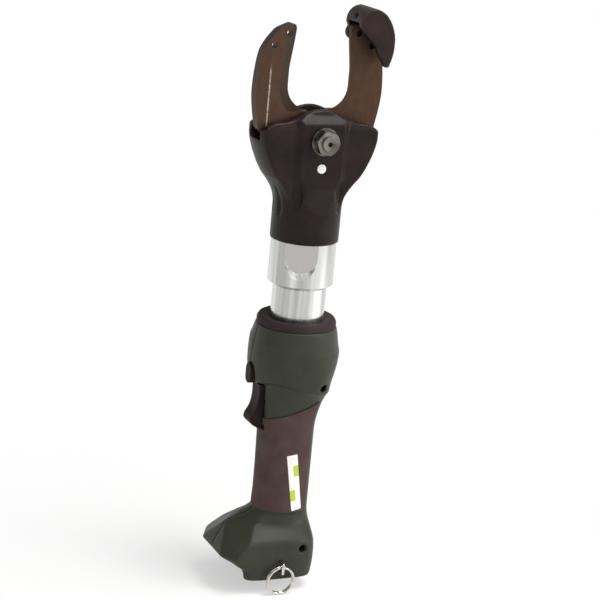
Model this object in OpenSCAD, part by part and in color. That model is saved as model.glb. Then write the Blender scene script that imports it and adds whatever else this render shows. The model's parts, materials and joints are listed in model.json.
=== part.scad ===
// Cordless in-line cable cutter, shown without its battery: hydraulic ram, two bypass jaws.
// Frame: Z runs along the tool, X from the trigger side (-) to the back (+), Y from the near (-)
// to the far (+) housing half. The origin is on the tool's axis at the edge of the foot's skirt.

/* [Stack along the axis] */
// Height of the battery foot, from the skirt edge to the grip
foot_h = 50; // [48:1:60]
// Length of the grip
grip_len = 66; // [62:1:90]
// Height of the pump collar's shell
collar_h = 81.5; // [79:0.5:95]
// Height of the ring that closes the collar
collar_ring_h = 6; // [4:0.5:9]
// Bare length of the cylinder's thin part above the collar ring
cyl_low_len = 24.5; // [18:0.5:40]
// Bare length of the cylinder's thick part
cyl_up_len = 36; // [34:1:50]
// Height of the jaw pivot above the casing's lower rim
pivot_rise = 78; // [76:1:90]

/* [Housing] */
// Reach of the foot's nose in front of the axis
foot_nose = 55; // [53:0.2:60]
// Half width of the foot
foot_half_w = 34; // [33:0.5:40]
// Reach of the foot behind the axis
foot_back = 22.8; // [21.6:0.1:26]
// Reach of the skirt's front edge
skirt_front = 38; // [35:0.5:41]
// Reach of the grip in front of the axis, without its pads
grip_front = 21.2; // [20.5:0.1:25]
// Reach of the grip behind the axis
grip_back = 20.9; // [20:0.1:25]
// Half width of the grip, without its pads
grip_half_w = 19.8; // [19.5:0.1:24]
// Largest reach of the collar, front and back
collar_r = 35; // [34:0.2:40]
// Outer radius at the collar's top edge
collar_top_r = 31; // [30:0.2:33]
// Thickness of the soft grip pads
pad_t = 0.9; // [0.6:0.1:2]

/* [Battery bay] */
// Half width of the bay between the skirt walls
bay_half_w = 26; // [24:0.5:28]
// Height of the bay's ceiling
bay_h = 14; // [12:0.5:15]
// Inner face of the bay's back wall
bay_back = 14; // [10:0.5:16]
// How far each guide rail stands out from its wall
rail_out = 4; // [3:0.5:6]
// Height of each guide rail's lower face
rail_z = 3; // [2:0.5:5]
// Thickness of each guide rail
rail_t = 3.5; // [2.5:0.5:5]
// Length of each guide rail
rail_len = 44; // [36:1:46]

/* [Controls] */
// Width of the trigger
trigger_w = 15; // [13:0.2:17]
// Height of the trigger's finger side
trigger_h = 36; // [34:0.5:38]
// Reach of the trigger's hooked tip in front of the axis
trigger_tip = 34.4; // [33:0.2:37]
// Reach of the trigger's finger face in front of the axis
finger_face = 28.8; // [28:0.1:30]
// Travel of the trigger in degrees
trigger_swing = 7; // [4:0.5:7]
// Radius of the trigger's pin
trigger_pin_r = 1.5; // [1.2:0.1:2]
// Width of the retract button
button_w = 10; // [8:0.5:13]
// Height of the retract button
button_h = 16; // [14:0.5:18]
// Reach of the retract button in front of the axis
button_reach = 36.4; // [36:0.1:38]
// Travel of the retract button
button_travel = 2.5; // [1.5:0.1:2.5]

/* [Cylinder and ram] */
// Radius of the cylinder's thin part
cyl_low_r = 20.5; // [19.5:0.1:22]
// Radius of the cylinder's thick part
cyl_up_r = 25; // [24.5:0.1:25.8]
// Radius of the pressure bore
bore_r = 15; // [13:0.2:15.6]
// Radius of the spring chamber
chamber_r = 17.5; // [16.5:0.1:18]
// Radius of the ram's rod
rod_r = 8; // [6:0.1:9]
// Height of the piston
piston_h = 12; // [8:0.5:13]
// Wire diameter of the return spring
spring_wire = 2.4; // [1.6:0.1:2.5]
// Mean radius of the return spring
spring_r = 12; // [11:0.1:13]
// Turns of the return spring
spring_turns = 5; // [3:1:5]
// Width of the wrench flats
flat_w = 25; // [18:0.5:28]
// Height of the wrench flats below the casing
flat_h = 22.5; // [16:0.5:28]

/* [Casing] */
// Radius of the round neck
neck_r = 26; // [25.8:0.1:28]
// Half width across the shoulders
shoulder_w = 48.2; // [46:0.2:51]
// Width of the shoulder's rounded corner
shoulder_r = 14.8; // [10:0.2:17]
// Height of the shoulder's rounded corner above the pivot
shoulder_rise = 12.4; // [10:0.2:15]
// Height of the hump over the pivot
hump_rise = 22.5; // [19:0.5:26]
// Half thickness of the cheek plates
cheek_y = 17; // [15:0.5:18]
// Half thickness over the middle rib
rib_y = 20; // [19:0.5:23]
// Side wall of the jaw chamber
casing_wall = 4.5; // [3.5:0.1:5]

/* [Jaws] */
// Thickness of each blade
blade_t = 9; // [7:0.2:10]
// Half width between the cutting edges
gape = 24.5; // [23:0.5:28]
// Reach of the blade's back from the pivot
blade_back = 52.8; // [50:0.2:56]
// Height of the blade's tip above the pivot
blade_tip = 84; // [80:0.5:86]
// Width of the ground bevel behind the edge
bevel_w = 10; // [6:0.5:12]
// Radius of the throat's corner
throat_r = 18; // [13:0.5:20]
// Height of the throat's floor above the pivot
throat_h = 20; // [18:0.5:23]
// Radius of the blade's rounded tip
tip_r = 5; // [3:0.5:7]
// Radius of the jaw's hub
hub_r = 13; // [11:0.2:13.4]
// Radius of the pivot bolt
pivot_r = 7; // [5:0.1:8]
// Radius from the pivot to the ear
ear_r = 26; // [25:0.2:28]
// Swing of each jaw in degrees
jaw_swing = 42; // [30:0.5:42]
// Radius of the two holes in each blade's tip
tip_hole_r = 2.25; // [1.5:0.05:2.5]
// Half thickness of the tip guard
guard_y = 14; // [13:0.2:16]

/* [Links and crosshead] */
// Radius of the link pins
link_pin_r = 4; // [3:0.1:4.5]
// Radius of the links' rounded ends
link_eye_r = 8; // [7:0.1:8]
// Width of the links
link_w = 10; // [8:0.2:10.4]
// Thickness of the tongues in the ears and in the links' lower ends
tongue_t = 4; // [3:0.1:5]
// Distance of the crosshead's pins from the axis
cross_x = 9; // [8.5:0.1:10]
// Height of the crosshead's pins below the pivot, jaws open
cross_drop = 52; // [50:0.5:54]

/* [Lanyard ring] */
// Mean radius of the split ring
ring_r = 10.6; // [9:0.1:12]
// Diameter of the ring's wire
ring_wire = 1.9; // [1.5:0.1:2.4]
// Place of the ring's staple along X
staple_x = -10.5; // [-20:0.5:0]
// Height of the staple's middle
staple_z = 11.8; // [11:0.1:14]
// Diameter of the staple's wire
staple_wire = 2.2; // [1.8:0.1:2.6]

/* [Fits] */
// Radial clearance of a pin or shaft in its bore
run = 0.05; // [0.02:0.01:0.1]
// Gap between faces that pass each other
pass = 0.3; // [0.25:0.05:0.4]
// Radial clearance of a part seated in a pocket
seat = 0.1; // [0.05:0.05:0.2]

/* [Hidden] */
$fn = 64;
// Heights along the axis
grip_z = foot_h;
collar_z = grip_z + grip_len;
shell_z = collar_z + collar_h;
ring_top_z = shell_z + collar_ring_h;
cyl_step_z = ring_top_z + cyl_low_len;
casing_z = cyl_step_z + cyl_up_len;
pivot_z = casing_z + pivot_rise;
collar_screw_z = collar_z + 36;
// Crosshead at rest, the floor of its chamber, and the cylinder's spigot up into that floor
cross_z = pivot_z - cross_drop;
cross_below = 11.5;
floor_z = cross_z - cross_below - 0.5;
floor_t = 4;
spigot_h = floor_z - floor_t - casing_z;
// Inner units: the motor, gearbox and pump stand on each other, the cylinder stands on the pump
motor_r = 16;
motor_z = grip_z + 2;
motor_h = 52;
board_t = 1.6;
gear_r = 13;
gear_h = 24;
pump_z = motor_z + motor_h + gear_h;
pump_top_z = shell_z - 12;
pump_low_r = 13;
pump_r = 21;
pump_step_z = collar_screw_z + 6;
tank_wall = 4;
tank_gap = 0.4;
core_r = pump_r + tank_gap + tank_wall + 0.7;
core_z = pump_step_z + 1;
switch_depth = 5;
switch_w = 15;
switch_h = 18;
switch_z = pump_z - 10;
// Swivel joint of the cylinder in the collar ring
retainer_t = 3.2;
retainer_r = 24;
groove_depth = 1.9;
ring_spigot_h = 8;
chamfer_h = 3;
bore_floor = 6;
spigot_r = 22;
gland_h = 6;
gland_r = 18.5;
port_r = 2;
// Ram at rest
piston_z = pump_top_z + bore_floor + 2;
rod_collar_r = 14;
rod_collar_t = 3;
chamber_z = cyl_step_z + 2;
rod_collar_z = chamber_z + 2;
spring_z = rod_collar_z + rod_collar_t;
gland_z = casing_z + spigot_h - gland_h;
seal_h = 3;
seal_depth = 2.5;
seal_z = piston_z + piston_h / 2 - seal_h / 2;
// Linkage: the ear swings evenly about the level of the pivot
ear_x = ear_r * cos(jaw_swing / 2);
ear_drop = ear_r * sin(jaw_swing / 2);
link_float = ear_r - ear_x;
link_foot_x = cross_x - link_float / 2;
link_dx = ear_x - link_foot_x;
link_dz = cross_drop - ear_drop;
link_len = norm([link_dx, link_dz]);
link_lean = atan2(link_dx, link_dz);
chamber_y = blade_t + pass;
link_out_y = blade_t - 0.1;
blade_land = 0.1;
edge_land = 0.6;
bevel_turn = blade_tip - 34;
bevel_runout = 13;
cross_half_w = 17;
cross_above = 7;
link_neck = link_eye_r + 4;
tongue_mid = blade_t / 2;
// Guard: its bridge stays outside the circle that the blade tips sweep
sweep_r = blade_tip + 5.5;
drain_r = 2;
tip_holes = [[41, 68], [29.7, 77]];
screw_head_t = 2.4;
// Pivot hardware
washer_t = 2;
washer_r = 10.5;
nut_t = 7;
nut_corner_r = 9.8;
bolt_thread_r = 5.6;
bolt_end = 2;
bolt_head_r = 11;
bolt_head_t = 5;
plug_drop = 20.5;
plug_r = 3.5;
plug_proud = 0.4;
plug_depth = 6;
// Controls
trigger_pin_x = -21.8;
trigger_pin_z = collar_z + 30;
trigger_top_z = collar_z + 35;
trigger_top = trigger_top_z - collar_z - 0.2;
hook_z = 6;
trigger_back = 25.4;
pocket_z = collar_z - 2;
pocket_x = trigger_h * sin(trigger_swing) - trigger_back + 2.2;
button_z = collar_z + 43;
button_in = pump_r + button_travel + 0.5;
// Housing screws along Y: place, depth of the head
screws = [[16, collar_screw_z, 17], [8, foot_h - 26, 24]];
screw_head_r = 3.1;
screw_shank_r = 1.7;
screw_end_y = 15;
// Lanyard staple
staple_half = 3.6;
ring_off = 3.2;
staple_out = foot_half_w + ring_off + ring_wire + pass + staple_wire / 2;
staple_in = foot_half_w - 5;
// Battery contacts
block_x = [-20, 4];
block_half_w = 13;
block_z = [9, 20];
contact_t = 1.2;
contact_len = 12;
contact_y = [-9, 0, 9];
section_steps = 26;

// Shared shapes

// Cylinder along Y between two values of y, at x and z
module y_rod(x, z, y0, y1, r, fn = 48) {
  translate([x, y0, z]) rotate([-90, 0, 0]) cylinder(r = r, h = y1 - y0, $fn = fn);
}

// Outline in X and Z, extruded along Y between two values of y
module y_plate(y0, y1) {
  translate([0, y1, 0]) rotate([90, 0, 0]) linear_extrude(y1 - y0) children();
}

// Tube between two radii, from height z0 to z1
module sleeve(r_in, r_out, z0, z1) {
  translate([0, 0, z0]) difference() {
    cylinder(r = r_out, h = z1 - z0);
    translate([0, 0, -1]) cylinder(r = r_in, h = z1 - z0 + 2);
  }
}

// Smooth curve through a list of points, with a number of steps between each two
function curve(p, steps) = concat([for (i = [0:len(p) - 2], k = [0:steps - 1])
  let (a = p[max(i - 1, 0)], b = p[i], c = p[i + 1], d = p[min(i + 2, len(p) - 1)], t = k / steps)
  (2 * b + (c - a) * t + (2 * a - 5 * b + 4 * c - d) * t * t + (3 * b - a - 3 * c + d) * t * t * t) / 2],
  [p[len(p) - 1]]);

function arc(c, r, a0, a1, steps) = [for (i = [0:steps]) let (a = a0 + (a1 - a0) * i / steps)
  c + r * [cos(a), sin(a)]];

function flipped(p) = [for (q = p) [-q[0], q[1]]];

function reversed(p) = [for (i = [len(p) - 1:-1:0]) p[i]];

// Head casing

shoulder_c = [shoulder_w - shoulder_r, 0];
rib_low = 20;
rib_high = 42;
rib_top = 12;
// Turned flare below the shoulders: height about the pivot and share of the way from neck to shoulder
flare = [[-50, 0], [-44, 0.05], [-40, 0.13], [-37, 0.21], [-33, 0.33], [-28.5, 0.5], [-22, 0.67], [-12.5, 0.85],
  [-4.5, 0.96], [1, 1], [shoulder_rise, 1]];

function flank(dz) = neck_r + (shoulder_w - neck_r) * lookup(dz, flare);

function flank_side(dz0, dz1, inset, steps) = [for (i = [0:steps]) let (dz = dz0 + (dz1 - dz0) * i / steps)
  [flank(dz) - inset, dz]];

// Hump over the pivot, from the shoulder's corner to the middle
function hump_side(steps) = [for (i = [0:steps]) let (x0 = shoulder_c[0], x = x0 * (1 - i / steps))
  [x, shoulder_rise + (hump_rise - shoulder_rise) * (1 + cos(180 * x / x0)) / 2]];

// Front view of the cheeks: upright sides, rounded shoulders and the hump
module cheek_outline() {
  corner = [for (p = arc([0, 0], 1, 0, 86, 8)) shoulder_c + [shoulder_r * p[0], shoulder_rise * p[1]]];
  side = concat([[shoulder_w, -pivot_rise]], corner, hump_side(8));
  polygon(concat(side, reversed(flipped(side))));
}

// Chamber for the jaws, links and crosshead, open above the shoulders
module chamber_outline() {
  wall_top = -1.5;
  side = concat(flank_side(floor_z - pivot_z, wall_top, casing_wall, 12),
    [[shoulder_w + 5, wall_top], [shoulder_w + 5, hump_rise + 5]]);
  polygon(concat(side, reversed(flipped(side))));
}

// Thickness of the middle rib at each height: round neck below, flat bosses at the pivot
module rib_profile() {
  side = [[neck_r + 1, casing_z - 1], [neck_r + 1, casing_z + rib_low], [rib_y, casing_z + rib_high],
    [rib_y, pivot_z + rib_top], [rib_y - 6, pivot_z + rib_top + 7], [rib_y - 6, pivot_z + hump_rise]];
  polygon(concat(side, reversed(flipped(side))));
}

// Thickness of the cheeks, drawn in along the top edge
module cheek_profile() {
  side = [[cheek_y, casing_z], [cheek_y, pivot_z + 8], [cheek_y - 1.6, pivot_z + 14],
    [cheek_y - 5, pivot_z + hump_rise + 1]];
  polygon(concat(side, reversed(flipped(side))));
}

// Half of the turned flare, from the neck up to the hump
module flare_outline() {
  polygon(concat([[0, -pivot_rise], [neck_r, -pivot_rise]], flank_side(-52, 1, 0, 27),
    [[shoulder_w, hump_rise + 2], [0, hump_rise + 2]]));
}

// Front view of the middle rib: it follows the hump, a little below its crest
module rib_outline() {
  side = [for (p = hump_side(8)) if (p[0] < neck_r - 2) p - [0, 1.2]];
  foot = [[neck_r + 2, -pivot_rise], [neck_r + 2, side[0][1] - 4], [neck_r - 4, side[0][1] - 0.8]];
  half = concat(foot, side);
  polygon(concat(half, reversed(flipped(half))));
}

module x_plate(half) {
  rotate([90, 0, 90]) translate([0, 0, -half]) linear_extrude(2 * half) children();
}

// Spindle-shaped cutter for the flutes beside the rib
module flute(length, r) {
  rotate_extrude($fn = 32) polygon(concat([for (i = [0:10]) let (t = i / 10) [r * sin(180 * t), length * t]],
    [[0, length]]));
}

// Flutes beside the rib and under the cheeks: place, height above the rim, length, radius and lean
flute_rows = [[17.4, 20.6, 20, 36, 4.8, 2], [26.6, 7.2, 12, 32, 4.6, 7]];

module flutes() {
  for (sx = [-1, 1], sy = [-1, 1], f = flute_rows)
    translate([sx * f[0], sy * f[1], casing_z + f[2]]) rotate([0, sx * f[5], 0]) flute(f[3], f[4]);
}

module head_casing() {
  color("#3b3133") difference() {
    union() {
      intersection() {
        translate([0, 0, pivot_z]) y_plate(-cheek_y, cheek_y) cheek_outline();
        x_plate(shoulder_w + 2) cheek_profile();
        translate([0, 0, pivot_z]) rotate_extrude() flare_outline();
      }
      intersection() {
        translate([0, 0, casing_z]) cylinder(r = neck_r, h = pivot_rise + hump_rise);
        x_plate(neck_r + 2) rib_profile();
        translate([0, 0, pivot_z]) y_plate(-neck_r - 2, neck_r + 2) rib_outline();
      }
    }
    translate([0, 0, pivot_z]) y_plate(-chamber_y, chamber_y) chamber_outline();
    translate([0, 0, casing_z - 1]) cylinder(r = spigot_r + seat, h = spigot_h + 1 + seat);
    translate([0, 0, casing_z]) cylinder(r = rod_r + 2 * pass, h = floor_z - casing_z + 1);
    y_rod(0, pivot_z, -rib_y - 1, rib_y + 1, pivot_r + run);
    y_rod(0, pivot_z - plug_drop, -rib_y - 1, plug_depth - rib_y, plug_r + run);
    flutes();
  }
}

module casing_plug() {
  color("white") y_rod(0, pivot_z - plug_drop, -rib_y - plug_proud, plug_depth - rib_y, plug_r);
}

// Jaws, drawn as the left one about its pivot

// Cutting side from the rounded tip down to the floor of the throat
function jaw_edge() = concat(reversed(arc([-gape + 1.4 - tip_r, blade_tip - tip_r], tip_r, 5, 100, 6)),
  [[-gape + 1, blade_tip - 15], [-gape, blade_tip - 30]],
  arc([throat_r - gape, throat_h + throat_r], throat_r, 180, 262, 8));

function jaw_back() = concat([[-5, -4], [-ear_x + 1, -ear_drop], [-ear_x - 7, -5.5],
  [-blade_back + 11, 0.5]], curve([[-blade_back + 3.8, 7.5], [-blade_back, 32], [-blade_back + 2, 58],
  [-blade_back + 6, 69], [-blade_back + 14.5, blade_tip - 4.2]], 4));

module jaw_outline() {
  polygon(concat([[-1, 9]], reversed(jaw_edge()), reversed(jaw_back())));
}

// Wedge beside the cutting edge that grinding takes away, leaning by an angle about a point on the edge
module bevel_wedge(lean) {
  translate([-gape, 0, bevel_turn]) rotate([0, lean, 0]) translate([0, 0, -blade_tip])
    linear_extrude(2 * blade_tip) polygon([[1, edge_land], [0, -edge_land], [-bevel_w, -blade_t],
      [-bevel_w, -blade_t - 1], [2 * bevel_w, -blade_t - 1], [2 * bevel_w, edge_land]]);
}

// Ground bevel: along the straight edge, running out towards the tip, and round the throat
module jaw_bevel() {
  mid = throat_h + throat_r;
  intersection() {
    bevel_wedge(0);
    bevel_wedge(bevel_runout);
    y_plate(-blade_t - 2, 1) translate([-gape - bevel_w - 1, mid]) square([3 * bevel_w, blade_tip]);
  }
  intersection() {
    translate([throat_r - gape, -edge_land, mid]) rotate([90, 0, 0])
      cylinder(r1 = throat_r + seat, r2 = throat_r + seat + bevel_w, h = blade_t - edge_land);
    y_plate(-blade_t - 2, 1) translate([-gape - bevel_w - 1, throat_h]) square([gape + bevel_w - 8, throat_r]);
  }
}

module jaw_body() {
  difference() {
    union() {
      jaw_blank();
      y_rod(-ear_x, -ear_drop, -tongue_mid - tongue_t / 2, -tongue_mid + tongue_t / 2, link_eye_r);
    }
    for (h = tip_holes) y_rod(-h[0], h[1], -blade_t - 1, 1, tip_hole_r);
    y_rod(0, 0, -blade_t - 1, 1, pivot_r + run);
    y_rod(-ear_x, -ear_drop, -blade_t, 0, link_pin_r + run);
  }
}

// Blade and hub, ground along the edge and thinned round the ear for the link's fork
module jaw_blank() {
  difference() {
    union() {
      y_plate(-blade_t, -blade_land) jaw_outline();
      y_rod(0, 0, -blade_t, -blade_land, hub_r);
    }
    jaw_bevel();
    for (y = [[-blade_t - 1, -tongue_mid - tongue_t / 2], [-tongue_mid + tongue_t / 2, 1]])
      y_rod(-ear_x, -ear_drop, y[0], y[1], link_eye_r + 2 * pass);
  }
}

// Turns a left-hand piece into its right-hand partner in the other blade plane
module partner() {
  rotate([0, 0, 180]) children();
}

module left_jaw() {
  color("#8b7566") translate([0, 0, pivot_z]) jaw_body();
}

module right_jaw() {
  color("#8b7566") translate([0, 0, pivot_z]) partner() jaw_body();
}

// Leaf-shaped side of the guard, with a bridge that reaches over the blade's tip
module guard_outline() {
  g = gape;
  b = blade_back;
  t = blade_tip;
  top = [[g - 0.5, t + 0.5], [g + 0.3, t + 5.7], [g + 3.6, t + 10.5], [g + 10, t + 13.3], [b - 11.8, t + 11.5],
    [b - 6.8, t + 7.5], [b - 2.8, t + 1.5], [b - 0.2, t - 6], [b + 0.3, t - 14], [b - 0.4, t - 20.6]];
  low = [[b - 2.2, t - 26.8], [b - 3.5, t - 29.5], [b - 6.5, t - 29.2], [b - 8.4, t - 26], [b - 12, t - 21.5],
    [b - 15.4, t - 14.5], [g + 8.3, t - 9.2], [g + 4, t - 5], [g + 1, t - 2]];
  polygon(curve(concat(top, low), 2));
}

// Guard: two leaves joined over the tip, round pads for its screws behind, a drain hole in its nose
module tip_guard() {
  color("#40383a") translate([0, 0, pivot_z]) difference() {
    union() {
      y_plate(-guard_y, guard_y) guard_outline();
      for (h = tip_holes) y_rod(h[0], h[1], blade_t, guard_y, 2 * tip_hole_r + 1.2);
    }
    y_rod(0, 0, -blade_t - pass, blade_t, sweep_r, 96);
    for (h = tip_holes) y_rod(h[0], h[1], blade_t - 1, guard_y + 1, tip_hole_r);
    for (h = tip_holes) y_rod(h[0], h[1], guard_y - screw_head_t, guard_y + 1, 2 * tip_hole_r);
    translate([gape + 1, -1, blade_tip + 7]) rotate([0, -45, 0]) cylinder(r = drain_r, h = 12, center = true);
  }
}

module guard_screws() {
  color("#2c2c2e") translate([0, 0, pivot_z]) for (h = tip_holes) difference() {
    union() {
      y_rod(h[0], h[1], 2, guard_y - screw_head_t + 0.5, tip_hole_r - run);
      y_rod(h[0], h[1], guard_y - screw_head_t, guard_y - 0.3, 2 * tip_hole_r - seat);
    }
    translate([h[0], guard_y - 1.8, h[1]]) rotate([-90, 0, 0]) cylinder(r = 1.5, h = 4, $fn = 6);
  }
}

module pivot_bolt() {
  end_y = -rib_y - washer_t - nut_t - bolt_end;
  color("#9a9490") difference() {
    union() {
      y_rod(0, pivot_z, -rib_y, rib_y, pivot_r);
      y_rod(0, pivot_z, end_y, -rib_y + 1, bolt_thread_r);
      y_rod(0, pivot_z, rib_y, rib_y + bolt_head_t, bolt_head_r);
    }
    y_rod(0, pivot_z, end_y - 1, end_y + 5, 1.7);
    translate([0, rib_y + 2, pivot_z]) rotate([-90, 0, 0]) cylinder(r = 5.8, h = bolt_head_t, $fn = 6);
  }
}

module pivot_washer() {
  color("#8d8784") difference() {
    y_rod(0, pivot_z, -rib_y - washer_t, -rib_y, washer_r);
    y_rod(0, pivot_z, -rib_y - washer_t - 1, -rib_y + 1, bolt_thread_r + seat);
  }
}

module pivot_nut() {
  color("#a29c98") difference() {
    intersection() {
      translate([0, -rib_y - washer_t, pivot_z]) rotate([90, 10, 0])
        cylinder(r = nut_corner_r, h = nut_t, $fn = 6);
      translate([0, -rib_y - washer_t, pivot_z]) rotate([90, 0, 0])
        cylinder(r1 = nut_corner_r + 2, r2 = nut_corner_r - 0.9, h = nut_t);
    }
    y_rod(0, pivot_z, -rib_y - washer_t - nut_t - 1, -rib_y, bolt_thread_r + run);
  }
}

// Links and crosshead, drawn for the left side

module ear_pin() {
  y_rod(-ear_x, pivot_z - ear_drop, -link_out_y, -2 * blade_land, link_pin_r);
}

module left_ear_pin() {
  color("silver") ear_pin();
}

module right_ear_pin() {
  color("silver") partner() ear_pin();
}

// Link about its upper eye, hanging straight down: forked above, a single tongue below
module link_body() {
  difference() {
    union() {
      y_rod(0, 0, -link_out_y, -2 * blade_land, link_eye_r);
      translate([-link_w / 2, -link_out_y, -link_len + link_neck])
        cube([link_w, link_out_y - 2 * blade_land, link_len - link_neck]);
      y_rod(0, -link_len, -tongue_mid - tongue_t / 2, -tongue_mid + tongue_t / 2, link_eye_r);
      translate([-link_w / 2, -tongue_mid - tongue_t / 2, -link_len]) cube([link_w, tongue_t, link_neck + 1]);
    }
    y_rod(0, 0, -blade_t - 1, 1, link_pin_r + run);
    y_rod(0, 0, -tongue_mid - tongue_t / 2 - pass, -tongue_mid + tongue_t / 2 + pass, link_eye_r + 2 * pass);
    rotate([0, link_lean, 0]) link_slot();
  }
}

// Level slot at the lower eye, which takes up the sideways float of the ear
module link_slot() {
  half = link_float / 2;
  r = link_pin_r + pass;
  foot = [link_dx, -link_dz];
  for (s = [-half, half]) y_rod(foot[0] + s, foot[1], -blade_t - 1, 1, r);
  translate([foot[0] - half, -blade_t - 1, foot[1] - r]) cube([2 * half, blade_t + 2, 2 * r]);
}

module link() {
  translate([-ear_x, 0, pivot_z - ear_drop]) rotate([0, -link_lean, 0]) link_body();
}

module left_link() {
  color("#6f6a66") link();
}

module right_link() {
  color("#6f6a66") partner() link();
}

module crosshead() {
  slot_y = tongue_t + 2 * pass;
  color("#77716c") difference() {
    translate([-cross_half_w, -link_out_y, cross_z - cross_below])
      cube([2 * cross_half_w, 2 * link_out_y, cross_below + cross_above]);
    for (s = [0, 180]) rotate([0, 0, s]) {
      translate([-cross_half_w - 1, -tongue_mid - slot_y / 2, cross_z - link_eye_r - 2 * pass])
        cube([cross_half_w + 2, slot_y, cross_below + cross_above + 10]);
      y_rod(-cross_x, cross_z, -blade_t, tongue_mid - slot_y / 2, link_pin_r + run);
    }
  }
}

module crosshead_pins() {
  color("silver") for (s = [0, 180]) rotate([0, 0, s])
    y_rod(-cross_x, cross_z, -link_out_y, tongue_mid - tongue_t / 2 - 2 * pass, link_pin_r);
}

// Ram and cylinder

module ram_rod() {
  color("silver") union() {
    translate([0, 0, piston_z + piston_h]) cylinder(r = rod_r, h = cross_z - cross_below - piston_z - piston_h);
    translate([0, 0, rod_collar_z]) cylinder(r = rod_collar_r, h = rod_collar_t);
  }
}

module piston() {
  color("#8f8a86") difference() {
    translate([0, 0, piston_z]) cylinder(r = bore_r - run, h = piston_h);
    sleeve(bore_r - seal_depth, bore_r + 1, seal_z, seal_z + seal_h);
  }
}

module piston_seal() {
  color("#202022") sleeve(bore_r - seal_depth, bore_r - run / 2, seal_z + run, seal_z + seal_h - run);
}

// Coil of round wire as one swept tube
module return_spring() {
  rings = 20;
  sides = 6;
  wire = spring_wire / 2;
  height = gland_z - spring_z - spring_wire - 2 * seat;
  count = spring_turns * rings;
  low = spring_z + seat + wire;
  points = [for (i = [0:count], k = [0:sides - 1]) let (a = 360 * i / rings, b = 360 * k / sides,
    r = spring_r + wire * cos(b)) [r * cos(a), r * sin(a), low + height * i / count + wire * sin(b)]];
  walls = [for (i = [0:count - 1], k = [0:sides - 1]) let (n = (k + 1) % sides)
    [i * sides + k, i * sides + n, (i + 1) * sides + n, (i + 1) * sides + k]];
  caps = [[for (k = [sides - 1:-1:0]) k], [for (k = [0:sides - 1]) count * sides + k]];
  color("#5a5a5c") polyhedron(points, concat(walls, caps), convexity = 10);
}

module gland_bush() {
  color("#b08d4a") sleeve(rod_r + run, gland_r - run, gland_z, gland_z + gland_h);
}

// Pair of wrench flats with rounded lower ends, one facing each way
module wrench_flats() {
  half = flat_w / 2;
  depth = sqrt(cyl_up_r * cyl_up_r - half * half) - 0.4;
  low = casing_z - flat_h + half;
  for (s = [0, 180]) rotate([0, 0, s - 27]) y_plate(-cyl_up_r - 2, -depth)
    polygon(concat(arc([0, low], half, 180, 360, 12), [[half, casing_z + 1], [-half, casing_z + 1]]));
}

module cylinder_body() {
  groove_z = pump_top_z + 0.4;
  rotate_extrude() polygon([[port_r, pump_top_z], [cyl_low_r, pump_top_z], [cyl_low_r, groove_z],
    [cyl_low_r - groove_depth, groove_z], [cyl_low_r - groove_depth, groove_z + retainer_t],
    [cyl_low_r, groove_z + retainer_t], [cyl_low_r, cyl_step_z], [cyl_up_r, cyl_step_z + chamfer_h],
    [cyl_up_r, casing_z], [spigot_r, casing_z], [spigot_r, casing_z + spigot_h], [gland_r, casing_z + spigot_h],
    [gland_r, gland_z], [chamber_r, gland_z], [chamber_r, chamber_z], [bore_r, chamber_z],
    [bore_r, pump_top_z + bore_floor], [port_r, pump_top_z + bore_floor]]);
}

module cylinder_node() {
  color("#d4d6d8") difference() {
    cylinder_body();
    wrench_flats();
  }
}

module swivel_retainer() {
  groove_z = pump_top_z + 0.4;
  color("#55524f") sleeve(cyl_low_r - groove_depth + seat, retainer_r, groove_z + run,
    groove_z + retainer_t - run);
}

module collar_ring() {
  low_z = shell_z - ring_spigot_h;
  color("#4a3f3d") rotate_extrude() polygon([[cyl_low_r + run, low_z], [core_r - seat, low_z],
    [core_r - seat, shell_z], [collar_top_r - 0.6, shell_z], [collar_top_r - 0.6, ring_top_z - 2.5],
    [collar_top_r - 2, ring_top_z],
    [cyl_low_r + 4, ring_top_z], [cyl_low_r + run, ring_top_z - 1.5]]);
}

// Housing: a loft through level sections, split into two halves at y = 0

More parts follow.
